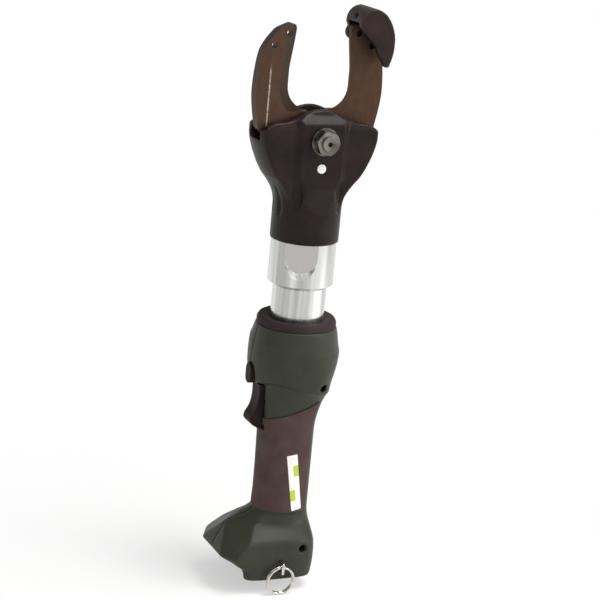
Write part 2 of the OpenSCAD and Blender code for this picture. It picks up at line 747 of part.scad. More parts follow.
// Section rows: height, reach in front, reach behind, half width, squareness in front and behind, lean along
// the sides; a faceted front adds the half width of its flat face and the corner between its cheek and its side
function foot_rows() = let (n = foot_nose, b = foot_back, w = foot_half_w, f = skirt_front, g = grip_half_w) [
  [0, f, b - 1.6, w - 0.8, 8, 4, 0],
  [foot_h - 45, f + 0.8, b - 0.8, w - 0.5, 8, 4, 0],
  [foot_h - 41, f + 2.6, b - 0.3, w - 0.3, 8, 4, 0],
  [foot_h - 38, n - 9.5, b - 0.1, w - 0.2, 7, 4, 0, 22, f + 5, w - 0.6],
  [foot_h - 35, n - 4.5, b, w, 6, 4, 0, 20.5, n - 9.3, w - 0.6],
  [foot_h - 32.5, n, b, w, 4, 4, 0, 19.5, n - 7.8, w - 0.3],
  [foot_h - 29.5, n - 0.7, b, w, 4, 4, 0, 18, n - 9.3, w - 0.2],
  [foot_h - 26, n - 2.4, b, w, 4, 3.9, 0, 14.9, n - 13, w - 1.2],
  [foot_h - 22, n - 4.6, b - 0.2, w, 4, 3.7, 0, 11.2, n - 17.8, w - 2.7],
  [foot_h - 19, n - 6.2, b - 0.4, w - 1.6, 4, 3.5, 0, 8.4, n - 20, w - 5],
  [foot_h - 15.5, n - 8, b - 0.7, w - 5, 4, 3.2, 0, 5.1, n - 22.5, w - 9],
  [foot_h - 12, n - 10, b - 1, w - 8.5, 4, 3, 0, 2, n - 25, g + 0.7],
  [foot_h - 10.2, n - 11.5, grip_back + 0.6, g + 4.2, 4, 2.8, 0, 0.7, grip_front + 7, g - 1],
  [foot_h - 8.5, n - 17, grip_back + 0.5, g + 3, 4, 2.6, 0, 0.6, grip_front + 5, g - 2.5],
  [foot_h - 7, grip_front + 10, grip_back + 0.4, g + 2.2, 2.2, 2.5, 0],
  [foot_h - 4.5, grip_front + 4.8, grip_back + 0.2, g + 1.3, 2.2, 2.4, 0],
  [foot_h - 2, grip_front + 1.9, grip_back + 0.1, g + 0.6, 2.2, 2.3, 0]];

function grip_rows() = [
  [grip_z, grip_front + 0.5, grip_back, grip_half_w + 0.3, 2.2, 2.3, 0],
  [grip_z + 12, grip_front, grip_back, grip_half_w, 2.2, 2.3, 0],
  [grip_z + grip_len / 2, grip_front, grip_back, grip_half_w, 2.2, 2.3, 0],
  [collar_z - 6, grip_front + 0.6, grip_back, grip_half_w, 2.2, 2.3, 0],
  [collar_z, grip_front + 1.4, grip_back, grip_half_w + 0.2, 2.2, 2.3, 0],
  [collar_z + 5, grip_front + 3.2, grip_back + 0.4, grip_half_w + 0.8, 2.2, 2.3, 0],
  [collar_z + 12, grip_front + 4.2, grip_back + 1.6, grip_half_w + 2, 2.2, 2.3, 0],
  [collar_z + 20, grip_front + 4.6, grip_back + 4.1, grip_half_w + 3.8, 2.2, 2.2, 0],
  [collar_z + 27, grip_front + 4.8, grip_back + 6.2, grip_half_w + 5.4, 2.2, 2.2, -0.15]];

function collar_rows() = [
  [collar_z + 33.5, grip_front + 5.1, collar_r - 6.2, collar_r - 7.2, 2.2, 2.2, -0.32],
  [collar_z + 35, collar_r - 2, collar_r - 5.6, collar_r - 5.2, 2.1, 2.2, -0.32],
  [collar_z + 40, collar_r - 0.8, collar_r - 4.4, collar_r - 4, 2.1, 2.1, -0.22],
  [collar_z + 48, collar_r, collar_r - 2.6, collar_r - 2, 2.1, 2.1, -0.2],
  [collar_z + 57, collar_r - 0.1, collar_r - 1, collar_r - 0.8, 2.1, 2.1, -0.26],
  [collar_z + 66, collar_r - 0.8, collar_r - 0.2, collar_r - 0.5, 2.1, 2.1, -0.3],
  [collar_z + 68, collar_r - 1.2, collar_r - 0.8, collar_r - 1, 2, 2, -0.26],
  [shell_z - 5, collar_top_r + 1.2, collar_top_r + 1.4, collar_top_r + 1.2, 2, 2, -0.06],
  [shell_z, collar_top_r, collar_top_r, collar_top_r, 2, 2, 0]];

function housing_rows() = concat(foot_rows(), grip_rows(), collar_rows());

function bulged(c, e) = sign(c) * pow(abs(c), e);

// Place along a chain of corners, by the step at which each corner stands
function on_chain(corners, stops, i) = let (k = len([for (q = stops) if (q <= i) q]) - 1,
  m = min(k, len(stops) - 2), t = (i - stops[m]) / (stops[m + 1] - stops[m]))
  corners[m] + (corners[m + 1] - corners[m]) * t;

front_stops = [0, 4, 9, section_steps / 2];

// Half of one level section, from the front seam round to the back seam
function half_section(row, side, grow) = [for (i = [0:section_steps]) let (a = 180 * i / section_steps,
  ahead = a < 90, n = ahead ? row[4] : row[5], faceted = ahead && len(row) > 7,
  reach = (ahead ? row[1] : row[2]) + grow, half = row[3] + grow,
  p = faceted ? on_chain([[reach, 0], [reach, row[7]], [row[8] + grow, row[9] + grow], [0, half]],
    front_stops, i) :
    [bulged(cos(a), 2 / n) * reach, pow(sin(a), 2 / n) * half])
  [-p[0], side * p[1], row[0] - row[6] * p[0] * sin(a)]];

// Loft through the half sections of a list of rows
module half_loft(rows, side, grow = 0) {
  m = section_steps + 1;
  top = len(rows) - 1;
  points = [for (row = rows, p = half_section(row, side, grow)) p];
  walls = [for (k = [0:top - 1], i = [0:m - 2]) let (a = k * m + i) [a, a + m, a + m + 1, a + 1]];
  seam = [for (k = [0:top - 1]) [k * m, k * m + m - 1, k * m + 2 * m - 1, k * m + m]];
  caps = [[for (i = [0:m - 1]) i], [for (i = [m - 1:-1:0]) top * m + i]];
  faces = concat(walls, seam, caps);
  polyhedron(points, side < 0 ? faces : [for (f = faces) reversed(f)], convexity = 8);
}

// Room for the inner units, the battery and the controls
module housing_rooms() {
  translate([0, 0, motor_z - board_t - 2]) cylinder(r = motor_r + pass, h = motor_h + board_t + 2);
  translate([0, 0, motor_z + motor_h - 1]) cylinder(r = gear_r + pass, h = pump_step_z - motor_z - motor_h + 2);
  translate([0, 0, pump_step_z]) cylinder(r = pump_r + pass, h = core_z - pump_step_z + 1);
  translate([0, 0, core_z]) cylinder(r = core_r, h = shell_z - core_z + 1);
  translate([-foot_nose - 10, -bay_half_w, -1]) cube([foot_nose + 10 + bay_back, 2 * bay_half_w, bay_h + 1]);
  translate([block_x[0] - seat, -block_half_w - seat, bay_h - 1])
    cube([block_x[1] - block_x[0] + 2 * seat, 2 * (block_half_w + seat), block_z[1] - bay_h + 1 + seat]);
  trigger_room();
  translate([-collar_r - 5, 0, button_z]) button_shape(collar_r + 5 - pump_r - pass, button_w / 2 + pass,
    button_h + 2 * pass);
}

module trigger_room() {
  half = trigger_w / 2 + pass;
  translate([-collar_r - 10, -half, pocket_z])
    cube([collar_r + 10 + pocket_x, 2 * half, trigger_top_z + 1 - pocket_z]);
  translate([pocket_x - 1, -switch_w / 2 - seat, switch_z - seat])
    cube([switch_depth + 2, switch_w + 2 * seat, switch_h + 2 * seat]);
}

// Button outline with round ends, from a face at x = 0 along +X
module button_shape(length, r, height) {
  rise = height / 2 - r;
  rotate([0, 90, 0]) union() {
    for (s = [-rise, rise]) translate([s, 0, 0]) cylinder(r = r, h = length);
    translate([-rise, -r, 0]) cube([2 * rise, 2 * r, length]);
  }
}

module screw_holes(grow) {
  for (s = screws) {
    y_rod(s[0], s[1], -collar_r - 5, -s[2], screw_head_r + grow);
    y_rod(s[0], s[1], -s[2] - 1, screw_end_y + grow, screw_shank_r + grow);
  }
}

module guide_rails(side) {
  translate([bay_back - rail_len - 4, side > 0 ? bay_half_w - rail_out : -bay_half_w - 1, rail_z])
    cube([rail_len, rail_out + 1, rail_t]);
}

module staple_holes() {
  for (s = [-staple_half, staple_half])
    y_rod(staple_x, staple_z + s, -foot_half_w - 2, -staple_in + seat, staple_wire / 2 + seat);
}

module housing_half(side) {
  difference() {
    half_loft(housing_rows(), side);
    housing_rooms();
    screw_holes(seat);
    y_rod(trigger_pin_x, trigger_pin_z, -trigger_w / 2 - 2 - run, trigger_w / 2 + 2 + run, trigger_pin_r + run);
    staple_holes();
  }
  guide_rails(side);
}

module housing_near() {
  color("#3f4641") housing_half(-1);
}

module housing_far() {
  color("#3f4641") housing_half(1);
}

// Skin of even thickness on the half sections of a list of rows, as far as one step round the section
module half_skin(rows, side, last, inner, outer) {
  m = last + 1;
  ring = 2 * m;
  top = len(rows) - 1;
  points = [for (row = rows, grow = [outer, inner], i = [0:last]) half_section(row, side, grow)[i]];
  outside = [for (k = [0:top - 1], i = [0:last - 1]) let (a = k * ring + i) [a, a + ring, a + ring + 1, a + 1]];
  inside = [for (k = [0:top - 1], i = [0:last - 1]) let (a = k * ring + m + i)
    [a, a + 1, a + ring + 1, a + ring]];
  seams = [for (k = [0:top - 1]) let (a = k * ring) each [[a, a + m, a + m + ring, a + ring],
    [a + last, a + last + ring, a + m + last + ring, a + m + last]]];
  ends = [for (i = [0:last - 1]) let (b = top * ring + i) each [[i, i + 1, m + i + 1, m + i],
    [b, b + m, b + m + 1, b + 1]]];
  faces = concat(outside, inside, seams, ends);
  polyhedron(points, side < 0 ? faces : [for (f = faces) reversed(f)], convexity = 8);
}

// Soft pad over one side of the grip, with a slanting top edge
module grip_pad(side) {
  rows = [for (r = housing_rows()) if (r[0] >= grip_z && r[0] < collar_z + 30) r];
  last = round(section_steps * 0.68);
  slant = atan2(16, grip_front + grip_back);
  difference() {
    half_skin(rows, side, last, seat / 2, pad_t);
    translate([-grip_front - 9, -collar_r, collar_z + 6]) rotate([0, -slant, 0])
      cube([3 * collar_r, 2 * collar_r, collar_h]);
    trigger_gap();
  }
}

module trigger_gap() {
  half = trigger_w / 2 + pass;
  translate([-collar_r, -half, pocket_z]) cube([collar_r + pocket_x, 2 * half, collar_h]);
}

module grip_pad_near() {
  color("#4a3f3d") grip_pad(-1);
}

module grip_pad_far() {
  color("#4a3f3d") grip_pad(1);
}

module housing_screws() {
  color("#2c2c2e") for (s = screws) difference() {
    union() {
      y_rod(s[0], s[1], -s[2] - 3, -s[2], screw_head_r);
      y_rod(s[0], s[1], -s[2] - 1, screw_end_y, screw_shank_r);
    }
    translate([s[0], -s[2] - 4, s[1]]) rotate([-90, 0, 0]) cylinder(r = 1.5, h = 2.5, $fn = 6);
  }
}

// Drive inside the housing

module pump_block() {
  color("#9c9a96") difference() {
    union() {
      translate([0, 0, pump_z]) cylinder(r = pump_low_r, h = pump_step_z - pump_z);
      translate([0, 0, pump_step_z]) cylinder(r = pump_r, h = pump_top_z - pump_step_z);
    }
    translate([0, 0, pump_top_z - 10]) cylinder(r = port_r, h = 11);
    translate([0, 0, pump_step_z + 8]) rotate([0, 90, 0]) cylinder(r = 3, h = pump_r + 1);
  }
}

module oil_reservoir() {
  color("#2a2a2c") intersection() {
    sleeve(pump_r + tank_gap, pump_r + tank_gap + tank_wall, core_z + pass, pump_top_z - pass);
    translate([4, -collar_r, core_z]) cube([collar_r, 2 * collar_r, collar_h]);
  }
}

module gearbox() {
  color("#6a6a6c") translate([0, 0, motor_z + motor_h]) cylinder(r = gear_r, h = gear_h);
}

module motor() {
  color("#55565a") difference() {
    translate([0, 0, motor_z]) cylinder(r = motor_r, h = motor_h);
    for (a = [0:60:300]) rotate([0, 0, a]) translate([motor_r - 4, -1.5, motor_z + motor_h - 6])
      cube([5, 3, 3]);
  }
}

module control_board() {
  color("#2f5a3a") translate([0, 0, motor_z - board_t]) cylinder(r = motor_r - seat, h = board_t);
}

module switch_module() {
  color("#1d1d1f") translate([pocket_x, -switch_w / 2, switch_z]) cube([switch_depth, switch_w, switch_h]);
}

// Trigger, about the collar's foot: finger curve in front with a hooked tip, bearing round the pin behind
function trigger_points() = let (face = -finger_face, tip = -trigger_tip, heel = -trigger_back,
  toe = trigger_top - trigger_h, back = trigger_pin_x + 2.2) concat(
  curve([[face, trigger_top], [face + 0.2, trigger_top - 10], [face - 1.2, hook_z + 10],
    [tip + 0.7, hook_z + 3.4]], 4),
  curve([[tip, hook_z], [tip + 2.2, hook_z - 3.2], [heel, toe]], 3),
  [[heel + 1, toe + 2], [heel + 1, hook_z + 12], [back - 1.8, hook_z + 17], [back, hook_z + 21],
  [back, trigger_top]]);

module trigger() {
  color("#33302f") translate([0, 0, collar_z]) difference() {
    y_plate(-trigger_w / 2, trigger_w / 2) polygon(trigger_points());
    y_rod(trigger_pin_x, trigger_pin_z - collar_z, -trigger_w, trigger_w, trigger_pin_r + run);
  }
}

module trigger_pin() {
  color("silver") y_rod(trigger_pin_x, trigger_pin_z, -trigger_w / 2 - 2, trigger_w / 2 + 2, trigger_pin_r);
}

module retract_button() {
  color("#33302f") translate([-button_reach, 0, button_z])
    button_shape(button_reach - button_in, button_w / 2, button_h);
}

module terminal_block() {
  color("#1d1d1f") difference() {
    translate([block_x[0], -block_half_w, block_z[0]])
      cube([block_x[1] - block_x[0], 2 * block_half_w, block_z[1] - block_z[0]]);
    for (y = contact_y) contact(y, seat);
  }
}

module contact(y, grow) {
  translate([block_x[0] - contact_len, y - contact_t / 2 - grow, block_z[0] + 1 - grow])
    cube([contact_len + 8 + grow, contact_t + 2 * grow, 4 + 2 * grow]);
}

module terminal_blades() {
  color("#c8a45a") for (y = contact_y) contact(y, 0);
}

// Lanyard ring and its staple

module ring_staple() {
  r = staple_wire / 2;
  out = staple_out;
  color("#b9b9b6") union() {
    for (s = [-staple_half, staple_half]) y_rod(staple_x, staple_z + s, -out, -staple_in, r);
    translate([staple_x, -out, staple_z - staple_half]) cylinder(r = r, h = 2 * staple_half);
    for (s = [-staple_half, staple_half]) translate([staple_x, -out, staple_z + s]) sphere(r = r);
  }
}

// Split ring: two turns of wire lying side by side
module lanyard_ring() {
  r = ring_wire / 2;
  color("#d0d0cc") translate([staple_x, -foot_half_w - ring_off, staple_z - ring_r]) rotate([90, 0, 0])
    rotate_extrude() for (s = [-1, 1]) translate([ring_r, s * r * 0.95]) circle(r = r);
}

head_casing();
casing_plug();
left_jaw();
right_jaw();
tip_guard();
guard_screws();
pivot_bolt();
pivot_washer();
pivot_nut();
left_ear_pin();
right_ear_pin();
left_link();
right_link();
crosshead();
crosshead_pins();
ram_rod();
piston();
piston_seal();
return_spring();
gland_bush();
cylinder_node();  // cylinder
swivel_retainer();
collar_ring();
housing_near();
housing_far();
grip_pad_near();
grip_pad_far();
housing_screws();
pump_block();
oil_reservoir();
gearbox();
motor();
control_board();
switch_module();
trigger();
trigger_pin();
retract_button();
terminal_block();
terminal_blades();
ring_staple();
lanyard_ring();
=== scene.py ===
"""Finishes of a cordless in-line cable cutter: cast head, burnished jaws, turned cylinder, moulded body."""

import json
import math

import bpy
from mathutils import Matrix, Vector

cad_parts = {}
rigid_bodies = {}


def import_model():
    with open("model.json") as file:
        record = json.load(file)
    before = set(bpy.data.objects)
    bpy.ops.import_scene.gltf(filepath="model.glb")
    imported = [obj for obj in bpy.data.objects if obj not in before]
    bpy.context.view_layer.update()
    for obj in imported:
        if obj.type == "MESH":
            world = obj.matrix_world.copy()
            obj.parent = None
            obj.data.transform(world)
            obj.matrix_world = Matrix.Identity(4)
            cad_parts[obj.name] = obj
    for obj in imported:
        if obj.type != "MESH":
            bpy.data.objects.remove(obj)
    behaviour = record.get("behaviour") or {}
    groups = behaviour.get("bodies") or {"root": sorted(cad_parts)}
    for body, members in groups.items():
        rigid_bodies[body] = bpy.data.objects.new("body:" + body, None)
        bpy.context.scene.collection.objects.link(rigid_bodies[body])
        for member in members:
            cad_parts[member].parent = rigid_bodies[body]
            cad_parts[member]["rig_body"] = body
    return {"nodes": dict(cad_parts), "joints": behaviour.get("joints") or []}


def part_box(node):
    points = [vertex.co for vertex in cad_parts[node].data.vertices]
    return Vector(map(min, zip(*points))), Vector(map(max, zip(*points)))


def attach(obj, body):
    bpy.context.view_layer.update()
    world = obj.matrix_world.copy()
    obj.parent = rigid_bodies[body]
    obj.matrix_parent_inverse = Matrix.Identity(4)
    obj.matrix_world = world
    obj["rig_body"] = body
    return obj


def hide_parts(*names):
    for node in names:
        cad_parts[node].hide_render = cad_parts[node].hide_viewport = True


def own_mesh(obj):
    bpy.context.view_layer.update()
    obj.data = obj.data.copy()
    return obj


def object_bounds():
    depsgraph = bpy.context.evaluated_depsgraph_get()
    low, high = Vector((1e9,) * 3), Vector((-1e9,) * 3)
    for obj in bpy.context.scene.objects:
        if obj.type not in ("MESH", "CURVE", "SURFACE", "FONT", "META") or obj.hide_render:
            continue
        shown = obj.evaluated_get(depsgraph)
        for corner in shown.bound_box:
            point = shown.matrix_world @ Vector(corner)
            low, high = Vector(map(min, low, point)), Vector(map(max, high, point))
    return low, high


bl_info = {
    "name": "In-line cable cutter",
    "version": (1, 0, 0),
    "blender": (4, 5, 0),
    "location": "View3D > Sidebar > Cutter",
    "description": "Rounds, shades and stages the pieces of a cordless in-line cable cutter",
    "category": "Object",
}

MM = 0.001

# Copies of CAD nodes: corners this near are one corner, and faces turned less than this are one flat
WELD, FLAT_LIMIT = 0.002 * MM, math.radians(0.3)
# Smoothing passes of the cast casing and guard, the moulded housing and the controls
CASING_PASSES, GUARD_PASSES, SHELL_PASSES, CONTROL_PASSES = 8, 10, 20, 10
# Turn above which an edge is sharp: on machined pieces, on wire and film, on the housing and on the soft pads
SHARP, WIRE_SHARP, SHELL_SHARP, PAD_SHARP = (math.radians(angle) for angle in (35.0, 40.0, 45.0, 50.0))
# Steps of a broken metal edge and of a soft pad's rounded edge
EDGE_STEPS, PAD_STEPS = 2, 3
# Left jaw: slope of its near face from the ridge to the edge
RIDGE_SLOPE = math.radians(4.0)
# Painted highlight, a bright line along that ridge: where it fades aside, behind the near face and towards its top, and
# its specks
PAINTED_HIGHLIGHT_ASIDE, PAINTED_HIGHLIGHT_DEPTH, PAINTED_HIGHLIGHT_TOP = (0.2 * MM, 0.9 * MM), (1 * MM, 2 * MM), (0.388, 0.397)
SPECK_MM, SPECK_RANGE, SPECK_SHARE = 1.6, (0.38, 0.6), (0.25, 1.0)
# Blades: how squarely a face looks to the side before it counts as a bevel or a rim, and the painted shade that darkens
# those
BLADE_FACE, PAINTED_RIM_SHADE = (0.95, 0.99), 0.5
# Corners of a blade's outline that are rounded: least and greatest turn, share of the sides, and steps
OUTLINE_TURN, OUTLINE_SHARE, OUTLINE_STEPS = (math.radians(2.0), math.radians(33.0)), 40.0, 3
# How squarely an edge has to run through a blade to be such a corner
ACROSS = 0.99
# Tapered mill of the wrench flats: bearing of the near flat, length, widening for each length, clearance and sides
FLAT_TURN, MILL_LENGTH, MILL_TAPER, MILL_GAP, MILL_SIDES = math.radians(-27.0), 8 * MM, 1.3, 0.1 * MM, 96
# How closely a face has to look along the flats' bearing, and lie at their distance, to be one of them
FLAT_FACING, FLAT_DEPTH = 0.004, 0.2 * MM
# Marking strip: its middle before it is laid on the grip, how far its top leans forward, its mesh and its glue
STRIP_MIDDLE, STRIP_LEAN = Vector((1.4, -24.0, 74.5)) * MM, math.radians(9.5)
STRIP_STEPS, STRIP_GLUE = (12, 48), 0.05 * MM
# Coloured fields of the strip: share on its front and back half, lowest and highest level from its middle
STRIP_FIELDS = (((0.0, 1.0), 5 * MM, 14 * MM), ((1.0, 0.0), -15 * MM, -6 * MM))
STRIP_BORDER = (-0.1 * MM, 0.1 * MM)

# Soft boxes: name, place, width and height, and power
LAMPS = (("overhead", (0.45, -0.35, 1.8), (0.8, 0.8), 25.0),
         ("front_high", (-0.36, -0.8, 1.4), (2.6, 0.6), 5.0),
         ("right", (1.3, -1.0, 0.9), (0.6, 0.6), 11.0))
LAMP_AIM = Vector((0.0, 0.0, 0.22))
# Floor: gap under the tool, distances between which its shadow fades, and share of white close to the tool
FLOOR_GAP, FLOOR_FADE, FLOOR_WHITE = 0.2 * MM, (0.05, 0.36), 0.5
# Glowing patch of the paper on the right, painted light for the metal to mirror: middle, where it starts and ends to
# fade, strength
BRIGHT_SPOT, BRIGHT_FADE, BRIGHT_GLOW = (0.75, -0.3, 0.0), (0.15, 0.45), 1.8
# Surroundings: heights between which they dim, and their light at the horizon and overhead
SKY_HEIGHT, SKY_LIGHT = (0.18, 0.45), (1.0, 0.22)

# Sockets of the nodes that spread a range and mix two colours
SPAN = ("From Min", "From Max", "To Min", "To Max")
MIX_FIRST, MIX_SECOND, MIX_RESULT = 6, 7, 2
# Noise of every finish, and the part of its range over which the patches, the wear and the gloss change
NOISE = {"Detail": 3.0, "Roughness": 0.55}
PATCH_RANGE, WEAR_RANGE, GLOSS_RANGE = (0.35, 0.65), (0.3, 0.6), (0.3, 0.7)
# Sharpness of an edge between which the worn colour comes in
EDGE_WEAR = (0.52, 0.6)

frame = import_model()
cad_low, cad_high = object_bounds()


def linear(code):
    """Linear red, green and blue of an sRGB hex colour."""
    channels = [int(code[i:i + 2], 16) / 255 for i in (1, 3, 5)]
    return tuple(c / 12.92 if c <= 0.04045 else ((c + 0.055) / 1.055) ** 2.4 for c in channels)


def length(name, description, millimetres):
    """Property of a size that a user would change, given in millimetres."""
    return bpy.props.FloatProperty(name=name, description=description, default=millimetres * MM,
                                   min=0.0, unit="LENGTH", subtype="DISTANCE", precision=5)


def angle(name, description, degrees):
    """Property of an angle that a user would change, given in degrees."""
    return bpy.props.FloatProperty(name=name, description=description, default=math.radians(degrees), subtype="ANGLE")


def colour(name, description, code):
    """Property of a colour that a user would change, given as sRGB hex."""
    return bpy.props.FloatVectorProperty(name=name, description=description, default=linear(code),
                                         min=0.0, max=1.0, size=3, subtype="COLOR")


class CutterSizes(bpy.types.PropertyGroup):
    """Roundings and thin details that the finish adds"""

    casing_grain: length("Casing rounding step", "Mesh step of the cast casing", 0.8)
    shell_grain: length("Shell rounding step", "Mesh step of the moulded housing", 0.75)
    guard_grain: length("Guard rounding step", "Mesh step of the cast tip guard", 0.6)
    control_grain: length("Control rounding step", "Mesh step of the trigger and the button", 0.4)
    control_gap: length("Control gap", "Gap round the trigger and the button in the housing", 0.3)
    blade_edge: length("Blade edge break", "Width of the broken edges of the jaws", 0.5)
    ridge_reach: length("Ridge reach", "From the axis to the ridge on the left jaw's near face", 42.5)
    flat_width: length("Flat width", "Width of the cylinder's wrench flats", 25.0)
    flat_height: length("Flat height", "Height of the wrench flats below the casing", 22.5)
    flat_step: length("Flat step", "Depth of the wrench flats at their sides", 0.4)
    metal_edge: length("Metal edge break", "Width of the broken edges of turned and bolted parts", 0.35)
    pad_edge: length("Pad edge", "Rounding of the soft pads' edges", 0.4)
    strip_width: length("Strip width", "Width of the bare marking strip on the grip", 8.5)
    strip_height: length("Strip height", "Height of the bare marking strip on the grip", 46.0)
    strip_thickness: length("Strip thickness", "Thickness of the marking strip", 0.15)


class CutterColours(bpy.types.PropertyGroup):
    """Colours of the finishes"""

    casing: colour("Casing", "Enamel of the cast head", "#211615")
    jaws: colour("Jaws", "Burnished steel of the jaws", "#503c31")
    # The ridge colour is a painted highlight, a bright line along the left jaw's ridge
    ridge: colour("Ridge", "Steel rubbed bright along the left jaw's ridge", "#c3b2a2")
    guard: colour("Guard", "Enamel of the tip guard", "#2b1e1d")
    cylinder: colour("Cylinder", "Turned metal of the cylinder", "#c9cac8")
    flats: colour("Flats", "Milled wrench flats of the cylinder", "#b8b5b2")
    housing: colour("Housing", "Moulded plastic of the body", "#333529")
    pads: colour("Pads", "Rubber of the grip pads", "#4b3b38")
    rim: colour("Rim", "Rubber of the collar ring", "#33292a")
    controls: colour("Controls", "Plastic of the trigger and the button", "#211714")
    strip: colour("Strip", "Film of the marking strip", "#f0efe9")
    strip_band: colour("Strip band", "Coloured field on the marking strip", "#b9c63c")


class CutterStage(bpy.types.PropertyGroup):
    """Camera and floor"""

    azimuth: angle("Azimuth", "Bearing of the camera round the tool", -25.0)
    elevation: angle("Elevation", "Height angle of the camera", 15.5)
    roll: angle("Roll", "Lean of the tool in the picture", 5.3)
    distance: length("Distance", "From the camera to the tool's middle", 1400.0)
    aim: length("Aim height", "Height that the camera looks at", 215.5)
    aside: length("Aim aside", "How far to the right of the axis the camera looks", 1.4)
    focal: bpy.props.FloatProperty(name="Focal length", description="Focal length in millimetres",
                                   default=110.5, min=1.0)
    floor: length("Floor width", "Width of the pale floor", 14000.0)


# Materials

def add(tree, kind, settings=None, links=None):
    """One node, with settings on its sockets or properties and links from other nodes' sockets."""
    made = tree.nodes.new(kind)
    for name, value in (settings or {}).items():
        if isinstance(name, int) or name in made.inputs:
            made.inputs[name].default_value = value
        else:
            setattr(made, name, value)
    for name, source in (links or {}).items():
        tree.links.new(source, made.inputs[name])
    return made


def solid(rgb):
    """Colour of a socket, with full opacity."""
    return (*rgb, 1.0)


def shaded(rgb, share):
    """A colour made darker or lighter by a share."""
    return tuple(min(1.0, c * share) for c in rgb)


def surface(name, rgb, patch_mm, grain_mm, bump_mm, rough, metallic=0.0, worn=None, stretch=(1.0, 1.0, 1.0),
            specular=0.5, mottle=0.75):
    """A finish: mottled colour, grain in the roughness and the relief, and a worn colour on sharp edges."""
    # The real grain is mostly finer than the picture's pixel of 0.76 mm, so it is drawn coarser to show.
    material = bpy.data.materials.new(name)
    material.use_nodes = True
    tree = material.node_tree
    tree.nodes.clear()
    place = add(tree, "ShaderNodeTexCoord").outputs["Object"]
    spread = add(tree, "ShaderNodeMapping", {"Scale": stretch}, {"Vector": place}).outputs["Vector"]
    fine, broad = (add(tree, "ShaderNodeTexNoise", {"Scale": 1 / (size * MM), **NOISE},
                       {"Vector": spread}).outputs["Fac"] for size in (grain_mm, patch_mm))
    patches = add(tree, "ShaderNodeMapRange", dict(zip(SPAN, PATCH_RANGE)), {"Value": broad}).outputs["Result"]
    tint = add(tree, "ShaderNodeMix", {"data_type": "RGBA", MIX_FIRST: solid(shaded(rgb, mottle)),
                                       MIX_SECOND: solid(shaded(rgb, 2 - mottle))}, {0: patches}).outputs[MIX_RESULT]
    if worn is not None:
        point = add(tree, "ShaderNodeNewGeometry").outputs["Pointiness"]
        edge = add(tree, "ShaderNodeMapRange", dict(zip(SPAN, EDGE_WEAR)), {"Value": point}).outputs["Result"]
        patchy = add(tree, "ShaderNodeMapRange", dict(zip(SPAN, WEAR_RANGE)), {"Value": broad}).outputs["Result"]
        wear_and_painted_highlight = add(tree, "ShaderNodeMath", {"operation": "MULTIPLY"}, {0: edge, 1: patchy}).outputs["Value"]
        tint = add(tree, "ShaderNodeMix", {"data_type": "RGBA", MIX_SECOND: solid(worn)},
                   {0: wear_and_painted_highlight, MIX_FIRST: tint}).outputs[MIX_RESULT]
    relief = add(tree, "ShaderNodeBump", {"Strength": 1.0, "Distance": bump_mm * MM}, {"Height": fine})
    gloss = add(tree, "ShaderNodeMapRange", dict(zip(SPAN, (*GLOSS_RANGE, *rough))), {"Value": fine})
    shader = add(tree, "ShaderNodeBsdfPrincipled", {"Metallic": metallic, "Specular IOR Level": specular},
                 {"Base Color": tint, "Roughness": gloss.outputs["Result"], "Normal": relief.outputs["Normal"]})
    add(tree, "ShaderNodeOutputMaterial", links={"Surface": shader.outputs["BSDF"]})
    return material


def layers_of(material):
    """Node tree, coordinates, shader and present colour of a finish that gets another layer of colour."""
    kinds = {node.type: node for node in material.node_tree.nodes}
    shader = kinds["BSDF_PRINCIPLED"]
    return material.node_tree, kinds["TEX_COORD"].outputs, shader, shader.inputs["Base Color"].links[0].from_socket


def casing_enamel(colours):
    # Black enamel baked on cast steel: soft gloss, a faint orange peel, edges rubbed to a paler brown.
    return surface("Baked enamel on cast steel", colours.casing, 18.0, 1.1, 0.02, (0.34, 0.46),
                   worn=linear("#5d4d4a"), specular=0.16)


